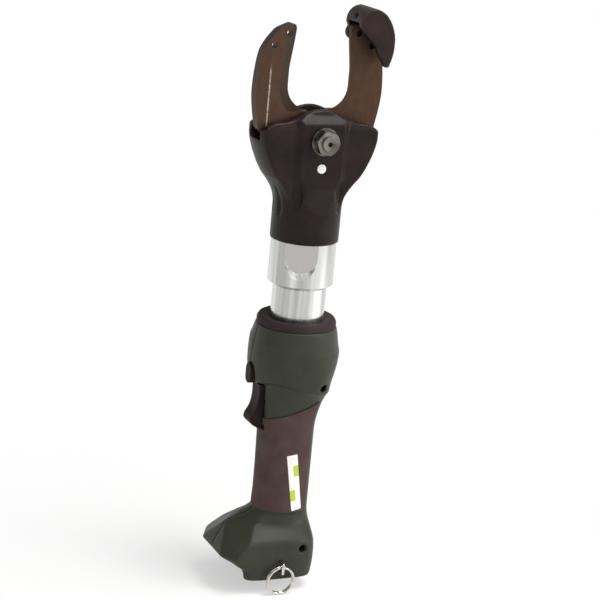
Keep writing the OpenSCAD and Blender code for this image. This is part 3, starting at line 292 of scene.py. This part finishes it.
def jaw_steel(colours, sizes):
    # Burnished tool steel: brown oxide with fine grinding lines along the blade, a painted highlight along the left
    # ridge,
    # and painted shade on the bevels and rims: every face that doesn't look squarely to the side is darker.
    material = surface("Burnished tool steel", colours.jaws, 5.0, 0.8, 0.01, (0.34, 0.46), metallic=0.6,
                       stretch=(1.0, 1.0, 0.6), specular=0.05, mottle=0.92)
    tree, coordinates, shader, tint = layers_of(material)
    # Painted shade: the bevels and rims get a darker copy of the steel's colour, by the way they face
    facing = add(tree, "ShaderNodeSeparateXYZ", links={0: coordinates["Normal"]}).outputs["Y"]
    either = add(tree, "ShaderNodeMath", {"operation": "ABSOLUTE"}, {0: facing}).outputs["Value"]
    face = add(tree, "ShaderNodeMapRange", dict(zip(SPAN, BLADE_FACE)), {"Value": either}).outputs["Result"]
    tint = add(tree, "ShaderNodeMix", {"data_type": "RGBA", MIX_FIRST: solid(shaded(colours.jaws, PAINTED_RIM_SHADE))},
               {0: face, MIX_SECOND: tint}).outputs[MIX_RESULT]
    # Painted highlight: a bright line on the near face along the left ridge, broken up by specks, fading towards its
    # top
    spot = add(tree, "ShaderNodeSeparateXYZ", links={0: coordinates["Object"]}).outputs
    aside = add(tree, "ShaderNodeMath", {"operation": "ADD", 1: sizes.ridge_reach}, {0: spot["X"]}).outputs["Value"]
    apart = add(tree, "ShaderNodeMath", {"operation": "ABSOLUTE"}, {0: aside}).outputs["Value"]
    depth = add(tree, "ShaderNodeMath", {"operation": "SUBTRACT", 1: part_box("left_jaw")[0].y}, {0: spot["Y"]})
    specks = add(tree, "ShaderNodeTexNoise", {"Scale": 1 / (SPECK_MM * MM), **NOISE}, {"Vector": coordinates["Object"]})
    shares = [add(tree, "ShaderNodeMapRange", dict(zip(SPAN, (*fade, *out))), {"Value": source}).outputs["Result"]
              for source, fade, out in ((apart, PAINTED_HIGHLIGHT_ASIDE, (1.0, 0.0)),
                                        (depth.outputs["Value"], PAINTED_HIGHLIGHT_DEPTH, (1.0, 0.0)),
                                        (spot["Z"], PAINTED_HIGHLIGHT_TOP, (1.0, 0.0)),
                                        (specks.outputs["Fac"], SPECK_RANGE, SPECK_SHARE))]
    wear_and_painted_highlight = shares[0]
    for share in shares[1:]:
        wear_and_painted_highlight = add(tree, "ShaderNodeMath", {"operation": "MULTIPLY"}, {0: wear_and_painted_highlight, 1: share}).outputs["Value"]
    tint = add(tree, "ShaderNodeMix", {"data_type": "RGBA", MIX_SECOND: solid(colours.ridge)},
               {0: wear_and_painted_highlight, MIX_FIRST: tint}).outputs[MIX_RESULT]
    tree.links.new(tint, shader.inputs["Base Color"])
    return material


def guard_enamel(colours):
    # Enamel on the cast guard: a little smoother than the casing, so its ridge catches the light.
    return surface("Gloss enamel on cast steel", colours.guard, 12.0, 1.0, 0.025, (0.3, 0.42),
                   worn=linear("#6a5c5a"), specular=0.14)


def flat_reach(sizes):
    """From the cylinder's axis to its wrench flats."""
    low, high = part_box("cylinder")
    return math.sqrt(((high.x - low.x) / 2) ** 2 - (sizes.flat_width / 2) ** 2) - sizes.flat_step


def turned_metal(colours, sizes):
    # Turned and plated steel: bright, with light and dark streaks along its length in its colour, partly wiping marks
    # and partly painted reflection streaks. The two milled wrench flats are greyer.
    material = surface("Turned plated steel", colours.cylinder, 7.0, 3.0, 0.012, (0.17, 0.27), metallic=1.0,
                       stretch=(1.0, 1.0, 0.02), mottle=0.72)
    tree, coordinates, shader, tint = layers_of(material)
    facing = (math.sin(FLAT_TURN), -math.cos(FLAT_TURN), 0.0)
    tests = []
    for source, level, margin in (("Normal", 1.0, FLAT_FACING), ("Object", flat_reach(sizes), FLAT_DEPTH)):
        along = add(tree, "ShaderNodeVectorMath", {"operation": "DOT_PRODUCT", 1: facing}, {0: coordinates[source]})
        either = add(tree, "ShaderNodeMath", {"operation": "ABSOLUTE"}, {0: along.outputs["Value"]}).outputs["Value"]
        near = add(tree, "ShaderNodeMath", {"operation": "COMPARE", 1: level, 2: margin}, {0: either})
        tests.append(near.outputs["Value"])
    milled = add(tree, "ShaderNodeMath", {"operation": "MULTIPLY"}, {0: tests[0], 1: tests[1]}).outputs["Value"]
    tint = add(tree, "ShaderNodeMix", {"data_type": "RGBA", MIX_SECOND: solid(colours.flats)},
               {0: milled, MIX_FIRST: tint}).outputs[MIX_RESULT]
    tree.links.new(tint, shader.inputs["Base Color"])
    return material


def housing_nylon(colours):
    # Glass-filled nylon from a spark-eroded mould: dull grey-green with a fine even stipple.
    return surface("Moulded glass-filled nylon", colours.housing, 26.0, 0.6, 0.015, (0.38, 0.5),
                   worn=linear("#565b53"), specular=0.22, mottle=0.9)


def pad_rubber(name, rgb):
    # Thermoplastic rubber moulded over the grip and the collar's rim: brown charcoal, matt, with a pebbled feel.
    return surface(name, rgb, 16.0, 0.8, 0.05, (0.62, 0.8), specular=0.18, mottle=0.85)


def control_nylon(colours):
    # Moulded nylon of the trigger and button: near black, with paler edges where the finger rubs.
    return surface("Moulded control nylon", colours.controls, 10.0, 0.5, 0.02, (0.42, 0.56),
                   worn=linear("#554a48"), specular=0.08)


def plain_metal(name, code, rough, mottle=0.85):
    """A bare or plated metal with its own colour and a fine finish."""
    return surface(name, linear(code), 8.0, 0.6, 0.01, rough, metallic=1.0, mottle=mottle)


def strip_film(colours):
    # Printed polyester film: smooth white with two plain coloured fields, one on each side of its middle line.
    material = surface("Printed polyester film", colours.strip, 9.0, 0.4, 0.004, (0.3, 0.42), mottle=0.96)
    tree, coordinates, shader, tint = layers_of(material)
    own = add(tree, "ShaderNodeMapping", {"vector_type": "TEXTURE", "Location": STRIP_MIDDLE,
                                          "Rotation": (0.0, -STRIP_LEAN, 0.0)}, {"Vector": coordinates["Object"]})
    spot = add(tree, "ShaderNodeSeparateXYZ", links={0: own.outputs["Vector"]}).outputs
    for across, low, high in STRIP_FIELDS:
        inside = add(tree, "ShaderNodeMapRange", dict(zip(SPAN, (*STRIP_BORDER, *across))),
                     {"Value": spot["X"]}).outputs["Result"]
        for edge, test in ((low, "GREATER_THAN"), (high, "LESS_THAN")):
            bound = add(tree, "ShaderNodeMath", {"operation": test, 1: edge}, {0: spot["Z"]}).outputs["Value"]
            inside = add(tree, "ShaderNodeMath", {"operation": "MULTIPLY"}, {0: inside, 1: bound}).outputs["Value"]
        tint = add(tree, "ShaderNodeMix", {"data_type": "RGBA", MIX_SECOND: solid(colours.strip_band)},
                   {0: inside, MIX_FIRST: tint}).outputs[MIX_RESULT]
    tree.links.new(tint, shader.inputs["Base Color"])
    return material


# Modelling helpers

def take(piece):
    """Makes a piece the one selected and active object."""
    bpy.ops.object.select_all(action="DESELECT")
    piece.select_set(True)
    bpy.context.view_layer.objects.active = piece


def copied(node):
    """A merged copy of a CAD node, taken up and named after the node."""
    piece = bpy.data.objects.new(node + "_finished", frame["nodes"][node].data.copy())
    piece.data.materials.clear()
    bpy.context.scene.collection.objects.link(piece)
    take(piece)
    bpy.ops.mesh.customdata_custom_splitnormals_clear()
    bpy.ops.object.mode_set(mode="EDIT")
    bpy.ops.mesh.select_all(action="SELECT")
    bpy.ops.mesh.remove_doubles(threshold=WELD)
    bpy.ops.object.mode_set(mode="OBJECT")
    return piece


def modify(piece, kind, settings):
    """Adds a modifier to the active piece, sets it and applies it."""
    made = piece.modifiers.new(kind.title(), kind)
    for name, value in settings.items():
        setattr(made, name, value)
    bpy.ops.object.modifier_apply(modifier=made.name)


def cast(piece, step, passes):
    """Rounds every edge as casting or moulding does: an even mesh of that step, then smoothing passes."""
    modify(piece, "REMESH", {"mode": "VOXEL", "voxel_size": step, "adaptivity": 0.0})
    modify(piece, "SMOOTH", {"factor": 0.5, "iterations": passes})
    bpy.ops.object.shade_smooth()


def join_flats():
    """Joins up the flat faces of the piece in hand."""
    bpy.ops.object.mode_set(mode="EDIT")
    bpy.ops.mesh.select_all(action="SELECT")
    bpy.ops.mesh.dissolve_limited(angle_limit=FLAT_LIMIT)
    bpy.ops.object.mode_set(mode="OBJECT")


def round_outline(piece):
    """Rounds the shallow outer corners of a blade's outline, which run across its thickness."""
    join_flats()
    mesh = piece.data
    sides = {}
    for face in mesh.polygons:
        for key in face.edge_keys:
            sides.setdefault(key, []).append(face)
    weights = mesh.attributes.new("bevel_weight_edge", "FLOAT", "EDGE").data
    for edge in mesh.edges:
        start, end = (mesh.vertices[i].co for i in edge.vertices)
        first, second = sides[edge.key]
        across = abs((end - start).normalized().y) > ACROSS
        outer = (second.center - first.center).dot(first.normal) < 0
        shallow = OUTLINE_TURN[0] < first.normal.angle(second.normal) < OUTLINE_TURN[1]
        weights[edge.index].value = float(across and outer and shallow)
    modify(piece, "BEVEL", {"limit_method": "WEIGHT", "offset_type": "PERCENT", "width_pct": OUTLINE_SHARE,
                            "segments": OUTLINE_STEPS, "use_clamp_overlap": False})


def break_edges(piece, width, segments=EDGE_STEPS, sharp=SHARP):
    """Bevels the sharp edges of a machined piece, after its flat faces are joined up."""
    join_flats()
    modify(piece, "BEVEL", {"width": width, "segments": segments, "limit_method": "ANGLE", "angle_limit": sharp,
                            "use_clamp_overlap": True})
    modify(piece, "TRIANGULATE", {})
    bpy.ops.object.shade_smooth_by_angle(angle=sharp)
    modify(piece, "WEIGHTED_NORMAL", {"keep_sharp": True})


def cut(piece, tool):
    """Cuts a tool's shape out of a piece and throws the tool away."""
    take(piece)
    modify(piece, "BOOLEAN", {"operation": "DIFFERENCE", "solver": "EXACT", "object": tool})
    bpy.data.objects.remove(tool)


def grind_back(piece, sizes):
    """Grinds the left jaw's near face back from its ridge towards the cutting edge."""
    low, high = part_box("left_jaw")
    side = high.z
    centre = Vector((-sizes.ridge_reach, low.y, (low.z + high.z) / 2))
    centre += Vector((math.sin(RIDGE_SLOPE), -math.cos(RIDGE_SLOPE), 0.0)) * side / 2
    bpy.ops.mesh.primitive_cube_add(size=side, location=centre, rotation=(0.0, 0.0, RIDGE_SLOPE))
    cut(piece, bpy.context.object)


def slope_flats(piece, sizes):
    """Slopes the round lower ends of the cylinder's two wrench flats out to its surface."""
    half = sizes.flat_width / 2
    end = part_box("head_casing")[0].z - sizes.flat_height + half
    tip = half - MILL_GAP
    reach = flat_reach(sizes) + MILL_GAP + MILL_LENGTH / 2
    for turn in (FLAT_TURN, FLAT_TURN + math.pi):
        bpy.ops.mesh.primitive_cone_add(vertices=MILL_SIDES, radius1=tip, radius2=tip + MILL_LENGTH * MILL_TAPER,
                                        depth=MILL_LENGTH, rotation=(math.pi / 2, 0.0, turn),
                                        location=(reach * math.sin(turn), -reach * math.cos(turn), end))
        cut(piece, bpy.context.object)


def limit_of(name):
    """Motion of a joint from rest to its limit."""
    joint = next(row for row in frame["joints"] if row["name"] == name)
    axis = Vector(joint["axis"])
    if joint["type"] == "slide":
        return Matrix.Translation(axis * joint["range_m"][1])
    pivot = Matrix.Translation(Vector(joint["pos_m"]))
    return pivot @ Matrix.Rotation(math.radians(joint["range_deg"][1]), 4, axis) @ pivot.inverted()


def clear_way(piece, node, joint, gap):
    """Cuts the way of a control, at rest and at its limit, out of a housing half."""
    for move in (Matrix.Identity(4), limit_of(joint)):
        tool = copied(node)
        modify(tool, "DISPLACE", {"strength": gap, "mid_level": 0.0})
        tool.data.transform(move)
        cut(piece, tool)


def body_of(node):
    """The body that a CAD node rides on."""
    return frame["nodes"][node]["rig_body"]


def press(piece):
    """Gives a spring its own copy of its mesh."""
    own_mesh(piece)


def place_for(piece, node, material):
    """Lets a finished piece stand for its CAD node."""
    piece.data.materials.clear()
    piece.data.materials.append(material)
    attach(piece, body_of(node))
    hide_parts(node)


def machined(nodes, material, width, segments=EDGE_STEPS, sharp=SHARP):
    """Finishes CAD nodes whose edges are broken and whose faces stay; gives the pieces."""
    pieces = []
    for node in nodes:
        pieces.append(copied(node))
        break_edges(pieces[-1], width, segments, sharp)
        place_for(pieces[-1], node, material)
    return pieces


def moulded(nodes, material, step, passes):
    """Finishes CAD nodes that are rounded all over."""
    for node in nodes:
        piece = copied(node)
        cast(piece, step, passes)
        place_for(piece, node, material)


def dress(nodes, material):
    """Gives CAD nodes, whose shapes stay, their material."""
    for node in nodes:
        mesh = frame["nodes"][node].data
        mesh.materials.clear()
        mesh.materials.append(material)


def marking_strip(sizes, pad):
    """Thin film bent round the near pad, behind its middle."""
    bpy.ops.object.select_all(action="DESELECT")
    bpy.ops.mesh.primitive_grid_add(x_subdivisions=STRIP_STEPS[0], y_subdivisions=STRIP_STEPS[1], size=1.0)
    piece = bpy.context.object
    piece.name = "marking_strip"
    piece.scale = (sizes.strip_width, sizes.strip_height, 1.0)
    piece.rotation_euler = (math.pi / 2, -STRIP_LEAN, 0.0)
    piece.location = STRIP_MIDDLE
    bpy.ops.object.transform_apply(location=True, rotation=True, scale=True)
    modify(piece, "SHRINKWRAP", {"target": pad, "wrap_method": "PROJECT", "use_project_y": True,
                                 "use_positive_direction": True, "offset": STRIP_GLUE})
    modify(piece, "SOLIDIFY", {"thickness": sizes.strip_thickness, "offset": 1.0})
    bpy.ops.object.shade_smooth_by_angle(angle=WIRE_SHARP)
    return piece


# Operators, one for each piece or group

class CUTTER_OT_casing(bpy.types.Operator):
    """Rounds the cast head casing and bakes its enamel"""

    bl_idname = "cutter.casing"
    bl_label = "Head casing"

    def execute(self, context):
        enamel = casing_enamel(context.scene.cutter_colours)
        moulded(("head_casing",), enamel, context.scene.cutter_sizes.casing_grain, CASING_PASSES)
        return {"FINISHED"}


class CUTTER_OT_jaws(bpy.types.Operator):
    """Breaks the edges of both jaws and burnishes them"""

    bl_idname = "cutter.jaws"
    bl_label = "Jaws"

    def execute(self, context):
        sizes = context.scene.cutter_sizes
        steel = jaw_steel(context.scene.cutter_colours, sizes)
        for node in ("left_jaw", "right_jaw"):
            piece = copied(node)
            if node == "left_jaw":
                grind_back(piece, sizes)
            round_outline(piece)
            break_edges(piece, sizes.blade_edge)
            place_for(piece, node, steel)
        return {"FINISHED"}


class CUTTER_OT_guard(bpy.types.Operator):
    """Rounds the cast tip guard"""

    bl_idname = "cutter.guard"
    bl_label = "Tip guard"

    def execute(self, context):
        enamel = guard_enamel(context.scene.cutter_colours)
        moulded(("tip_guard",), enamel, context.scene.cutter_sizes.guard_grain, GUARD_PASSES)
        return {"FINISHED"}


class CUTTER_OT_screws(bpy.types.Operator):
    """Finishes the screws of the guard and the housing"""

    bl_idname = "cutter.screws"
    bl_label = "Screws"

    def execute(self, context):
        # Black oxide on alloy steel: near black, with a dull sheen.
        oxide = plain_metal("Black oxide steel", "#2a2a2c", (0.4, 0.55))
        machined(("guard_screws", "housing_screws"), oxide, context.scene.cutter_sizes.metal_edge / 2)
        return {"FINISHED"}


class CUTTER_OT_pivot(bpy.types.Operator):
    """Finishes the pivot bolt, its washer and nut, and the cap plug"""

    bl_idname = "cutter.pivot"
    bl_label = "Pivot hardware"

    def execute(self, context):
        edge = context.scene.cutter_sizes.metal_edge
        # Zinc plated steel: grey, blotched by handling.
        zinc = plain_metal("Zinc plated steel", "#767069", (0.26, 0.5), mottle=0.5)
        machined(("pivot_bolt", "pivot_washer", "pivot_nut"), zinc, edge)
        # Moulded plastic: plain white with a soft gloss.
        white = surface("Moulded white plastic", linear("#eceae6"), 6.0, 0.5, 0.01, (0.35, 0.45), mottle=0.95)
        machined(("casing_plug",), white, edge)
        return {"FINISHED"}


class CUTTER_OT_linkage(bpy.types.Operator):
    """Finishes the links, pins and crosshead in the jaw chamber"""

    bl_idname = "cutter.linkage"
    bl_label = "Jaw linkage"

    def execute(self, context):
        # Ground alloy steel: grey, satin, thinly oiled.
        ground = plain_metal("Ground alloy steel", "#7d7a76", (0.3, 0.45))
        machined(("left_link", "right_link", "crosshead"), ground, context.scene.cutter_sizes.metal_edge)
        # Hardened pin steel: pale and bright, polished by the joint.
        polished = plain_metal("Polished pin steel", "#b4b4b2", (0.16, 0.26))
        dress(("left_ear_pin", "right_ear_pin", "crosshead_pins", "trigger_pin"), polished)
        return {"FINISHED"}


class CUTTER_OT_cylinder(bpy.types.Operator):
    """Finishes the turned cylinder and the ram inside it"""

    bl_idname = "cutter.cylinder"
    bl_label = "Cylinder and ram"

    def execute(self, context):
        sizes = context.scene.cutter_sizes
        piece = copied("cylinder")
        slope_flats(piece, sizes)
        break_edges(piece, sizes.metal_edge / 2)
        place_for(piece, "cylinder", turned_metal(context.scene.cutter_colours, sizes))
        # Hard chrome on the rod and piston: bright and smooth.
        dress(("ram_rod", "piston"), plain_metal("Hard chrome", "#c4c6c8", (0.1, 0.18)))
        # Oil-tempered spring wire and the retaining ring: dark grey steel.
        spring = plain_metal("Oil-tempered steel", "#5a5856", (0.35, 0.5))
        dress(("swivel_retainer",), spring)
        piece = copied("return_spring")
        bpy.ops.object.shade_smooth_by_angle(angle=WIRE_SHARP)
        place_for(piece, "return_spring", spring)
        press(piece)
        # Bearing bronze: warm, with a turned surface.
        dress(("gland_bush",), plain_metal("Bearing bronze", "#a8834a", (0.3, 0.42)))
        # Nitrile rubber: black and dull.
        dress(("piston_seal",), surface("Nitrile rubber", linear("#1f1f20"), 5.0, 0.4, 0.01, (0.5, 0.65)))
        return {"FINISHED"}


class CUTTER_OT_housing(bpy.types.Operator):
    """Rounds the two housing halves and the collar ring"""

    bl_idname = "cutter.housing"
    bl_label = "Housing"

    def execute(self, context):
        sizes, colours = context.scene.cutter_sizes, context.scene.cutter_colours
        nylon = housing_nylon(colours)
        for node in ("housing_near", "housing_far"):
            piece = copied(node)
            cast(piece, sizes.shell_grain, SHELL_PASSES)
            clear_way(piece, "trigger", "trigger_pull", sizes.control_gap)
            clear_way(piece, "retract_button", "retract_press", sizes.control_gap)
            bpy.ops.object.shade_smooth_by_angle(angle=SHELL_SHARP)
            place_for(piece, node, nylon)
        machined(("collar_ring",), pad_rubber("Soft rim rubber", colours.rim), sizes.pad_edge, PAD_STEPS)
        return {"FINISHED"}


class CUTTER_OT_pads(bpy.types.Operator):
    """Finishes the soft grip pads and lays the bare marking strip on the near one"""

    bl_idname = "cutter.pads"
    bl_label = "Grip pads"

    def execute(self, context):
        sizes, colours = context.scene.cutter_sizes, context.scene.cutter_colours
        rubber = pad_rubber("Overmoulded soft rubber", colours.pads)
        pads = machined(("grip_pad_near", "grip_pad_far"), rubber, sizes.pad_edge, PAD_STEPS, PAD_SHARP)
        strip = marking_strip(sizes, pads[0])
        strip.data.materials.append(strip_film(colours))
        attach(strip, body_of("grip_pad_near"))
        return {"FINISHED"}


class CUTTER_OT_controls(bpy.types.Operator):
    """Rounds the trigger and the retract button"""

    bl_idname = "cutter.controls"
    bl_label = "Controls"

    def execute(self, context):
        nylon = control_nylon(context.scene.cutter_colours)
        moulded(("trigger", "retract_button"), nylon, context.scene.cutter_sizes.control_grain, CONTROL_PASSES)
        return {"FINISHED"}


class CUTTER_OT_contacts(bpy.types.Operator):
    """Finishes the battery terminal block and its blades"""

    bl_idname = "cutter.contacts"
    bl_label = "Battery contacts"

    def execute(self, context):
        edge = context.scene.cutter_sizes.metal_edge
        # Moulded nylon of the terminal block: black and dull.
        block = surface("Moulded black nylon", linear("#202022"), 8.0, 0.5, 0.015, (0.45, 0.58), specular=0.35)
        machined(("terminal_block",), block, edge)
        # Brass blades: yellow, bright where the battery slides on.
        machined(("terminal_blades",), plain_metal("Half-hard brass", "#c09a4e", (0.22, 0.34)), edge / 2)
        return {"FINISHED"}


class CUTTER_OT_lanyard(bpy.types.Operator):
    """Finishes the staple and the split ring"""

    bl_idname = "cutter.lanyard"
    bl_label = "Lanyard ring"

    def execute(self, context):
        # Nickel plated wire: bright, slightly warm.
        dress(("ring_staple", "lanyard_ring"), plain_metal("Nickel plated wire", "#cfcac0", (0.14, 0.24)))
        return {"FINISHED"}


class CUTTER_OT_inner(bpy.types.Operator):
    """Gives the closed drive units inside the housing their finishes"""

    bl_idname = "cutter.inner"
    bl_label = "Inner units"

    def execute(self, context):
        # Die-cast aluminium of the pump: pale grey, with a satin skin.
        dress(("pump_block",), plain_metal("Die-cast aluminium", "#a6a5a2", (0.35, 0.5)))
        # Plated steel cans of the gearbox and motor: mid grey.
        dress(("gearbox", "motor"), plain_metal("Plated motor can", "#6c6d70", (0.3, 0.45)))
        # Moulded rubber of the oil bladder: black and dull.
        dress(("oil_reservoir",), surface("Moulded oil bladder", linear("#28282a"), 8.0, 0.6, 0.02, (0.5, 0.65)))
        # Moulded nylon of the switch: black, a little glossier.
        dress(("switch_module",), surface("Moulded switch case", linear("#1f1f21"), 6.0, 0.4, 0.01, (0.4, 0.5)))
        # Epoxy glass board under solder mask: glossy green.
        mask = surface("Solder mask on epoxy glass", linear("#2c5a3a"), 6.0, 0.5, 0.01, (0.25, 0.35))
        dress(("control_board",), mask)
        return {"FINISHED"}


class CUTTER_OT_stage(bpy.types.Operator):
    """Sets the camera, the pale floor and the soft light"""

    bl_idname = "cutter.stage"
    bl_label = "Stage"

    def execute(self, context):
        stage = context.scene.cutter_stage
        context.scene.view_settings.view_transform = "Standard"
        camera(context, stage)
        floor(context, stage)
        lamps(context)
        world(context)
        return {"FINISHED"}


def camera(context, stage):
    """Camera at the viewing angle, rolled so that the tool leans to the right."""
    sine, cosine = math.sin(stage.azimuth), math.cos(stage.azimuth)
    rise, reach = math.sin(stage.elevation), math.cos(stage.elevation)
    back = Vector((sine * reach, -cosine * reach, rise))
    right = Vector((cosine, sine, 0.0))
    upright = Matrix((right, back.cross(right), back)).transposed()
    place = Vector((0.0, 0.0, stage.aim)) + right * stage.aside + back * stage.distance
    bpy.ops.object.camera_add()
    made = context.object
    made.name = "Camera"
    made.matrix_world = Matrix.Translation(place) @ upright.to_4x4() @ Matrix.Rotation(stage.roll, 4, "Z")
    made.data.lens = stage.focal
    made.data.sensor_width = 36.0
    made.data.clip_end = 40.0
    made.data.dof.use_dof = False
    context.scene.camera = made


def floor(context, stage):
    """Pale floor under the lowest point, white to the eye away from the tool, with the tool's shadow near it."""
    bpy.ops.mesh.primitive_plane_add(size=stage.floor, location=(0.0, 0.0, cad_low.z - FLOOR_GAP))
    made = context.object
    made.name = "floor"
    bpy.ops.object.transform_apply(location=True, rotation=True, scale=True)
    # Matt paper: even and pale, plain white where it stands for the background.
    material = bpy.data.materials.new("Matt studio paper")
    material.use_nodes = True
    tree = material.node_tree
    tree.nodes.clear()
    place = add(tree, "ShaderNodeTexCoord").outputs["Object"]
    away = add(tree, "ShaderNodeVectorMath", {"operation": "LENGTH"}, {0: place}).outputs["Value"]
    white = add(tree, "ShaderNodeMapRange", dict(zip(SPAN, (*FLOOR_FADE, FLOOR_WHITE, 1.0))), {"Value": away})
    path = add(tree, "ShaderNodeLightPath").outputs
    seen = path["Is Camera Ray"]
    for ray in ("Is Glossy Ray", "Is Transmission Ray"):
        seen = add(tree, "ShaderNodeMath", {"operation": "MAXIMUM"}, {0: seen, 1: path[ray]}).outputs["Value"]
    share = add(tree, "ShaderNodeMath", {"operation": "MULTIPLY"}, {0: white.outputs["Result"], 1: seen})
    paper = add(tree, "ShaderNodeBsdfDiffuse", {"Color": solid(linear("#f6f6f4"))})
    # Painted light: a patch of the paper on the right glows brighter than white, standing in for a soft box in the
    # metal's reflections
    apart = add(tree, "ShaderNodeVectorMath", {"operation": "DISTANCE", 1: BRIGHT_SPOT}, {0: place}).outputs["Value"]
    bright = add(tree, "ShaderNodeMapRange", dict(zip(SPAN, (*BRIGHT_FADE, BRIGHT_GLOW, 1.0))), {"Value": apart})
    glow = add(tree, "ShaderNodeEmission", links={"Strength": bright.outputs["Result"]})
    mixed = add(tree, "ShaderNodeMixShader", links={0: share.outputs["Value"], 1: paper.outputs["BSDF"],
                                                    2: glow.outputs["Emission"]})
    add(tree, "ShaderNodeOutputMaterial", links={"Surface": mixed.outputs["Shader"]})
    made.data.materials.append(material)


def lamps(context):
    """Soft boxes: one overhead, a long one high in front and one on the right."""
    for name, spot, extent, power in LAMPS:
        bpy.ops.object.light_add(type="AREA", location=spot)
        made = context.object
        made.name = name
        made.data.shape = "RECTANGLE"
        made.data.size, made.data.size_y = extent
        made.data.energy = power
        made.rotation_euler = (LAMP_AIM - Vector(spot)).to_track_quat("-Z", "Y").to_euler()


def world(context):
    """Pale surroundings, white at the horizon and dimmer overhead, where the soft boxes are."""
    made = bpy.data.worlds.new("Studio")
    made.use_nodes = True
    tree = made.node_tree
    tree.nodes.clear()
    place = add(tree, "ShaderNodeTexCoord").outputs["Generated"]
    height = add(tree, "ShaderNodeSeparateXYZ", links={0: place}).outputs["Z"]
    light = add(tree, "ShaderNodeMapRange", dict(zip(SPAN, (*SKY_HEIGHT, *SKY_LIGHT))), {"Value": height})
    background = add(tree, "ShaderNodeBackground", {"Color": solid((1.0, 1.0, 1.0))},
                     {"Strength": light.outputs["Result"]})
    add(tree, "ShaderNodeOutputWorld", links={"Surface": background.outputs["Background"]})
    context.scene.world = made


PIECES = (CUTTER_OT_casing, CUTTER_OT_jaws, CUTTER_OT_guard, CUTTER_OT_screws, CUTTER_OT_pivot, CUTTER_OT_linkage,
          CUTTER_OT_cylinder, CUTTER_OT_housing, CUTTER_OT_pads, CUTTER_OT_controls, CUTTER_OT_contacts,
          CUTTER_OT_lanyard, CUTTER_OT_inner, CUTTER_OT_stage)


class CUTTER_PT_panel(bpy.types.Panel):
    """Lists the pieces of the cutter"""

    bl_label = "In-line cable cutter"
    bl_space_type = "VIEW_3D"
    bl_region_type = "UI"
    bl_category = "Cutter"

    def draw(self, context):
        for operator in PIECES:
            self.layout.operator(operator.bl_idname)
        for group in (context.scene.cutter_sizes, context.scene.cutter_colours, context.scene.cutter_stage):
            for name in group.bl_rna.properties.keys():
                if name not in ("rna_type", "name"):
                    self.layout.prop(group, name)


CLASSES = (CutterSizes, CutterColours, CutterStage, *PIECES, CUTTER_PT_panel)


def register():
    for made in CLASSES:
        bpy.utils.register_class(made)
    bpy.types.Scene.cutter_sizes = bpy.props.PointerProperty(type=CutterSizes)
    bpy.types.Scene.cutter_colours = bpy.props.PointerProperty(type=CutterColours)
    bpy.types.Scene.cutter_stage = bpy.props.PointerProperty(type=CutterStage)


def unregister():
    del bpy.types.Scene.cutter_stage
    del bpy.types.Scene.cutter_colours
    del bpy.types.Scene.cutter_sizes
    for made in reversed(CLASSES):
        bpy.utils.unregister_class(made)


def main():
    register()
    for operator in PIECES:
        group, name = operator.bl_idname.split(".")
        getattr(getattr(bpy.ops, group), name)()


if __name__ == "__main__":
    main()
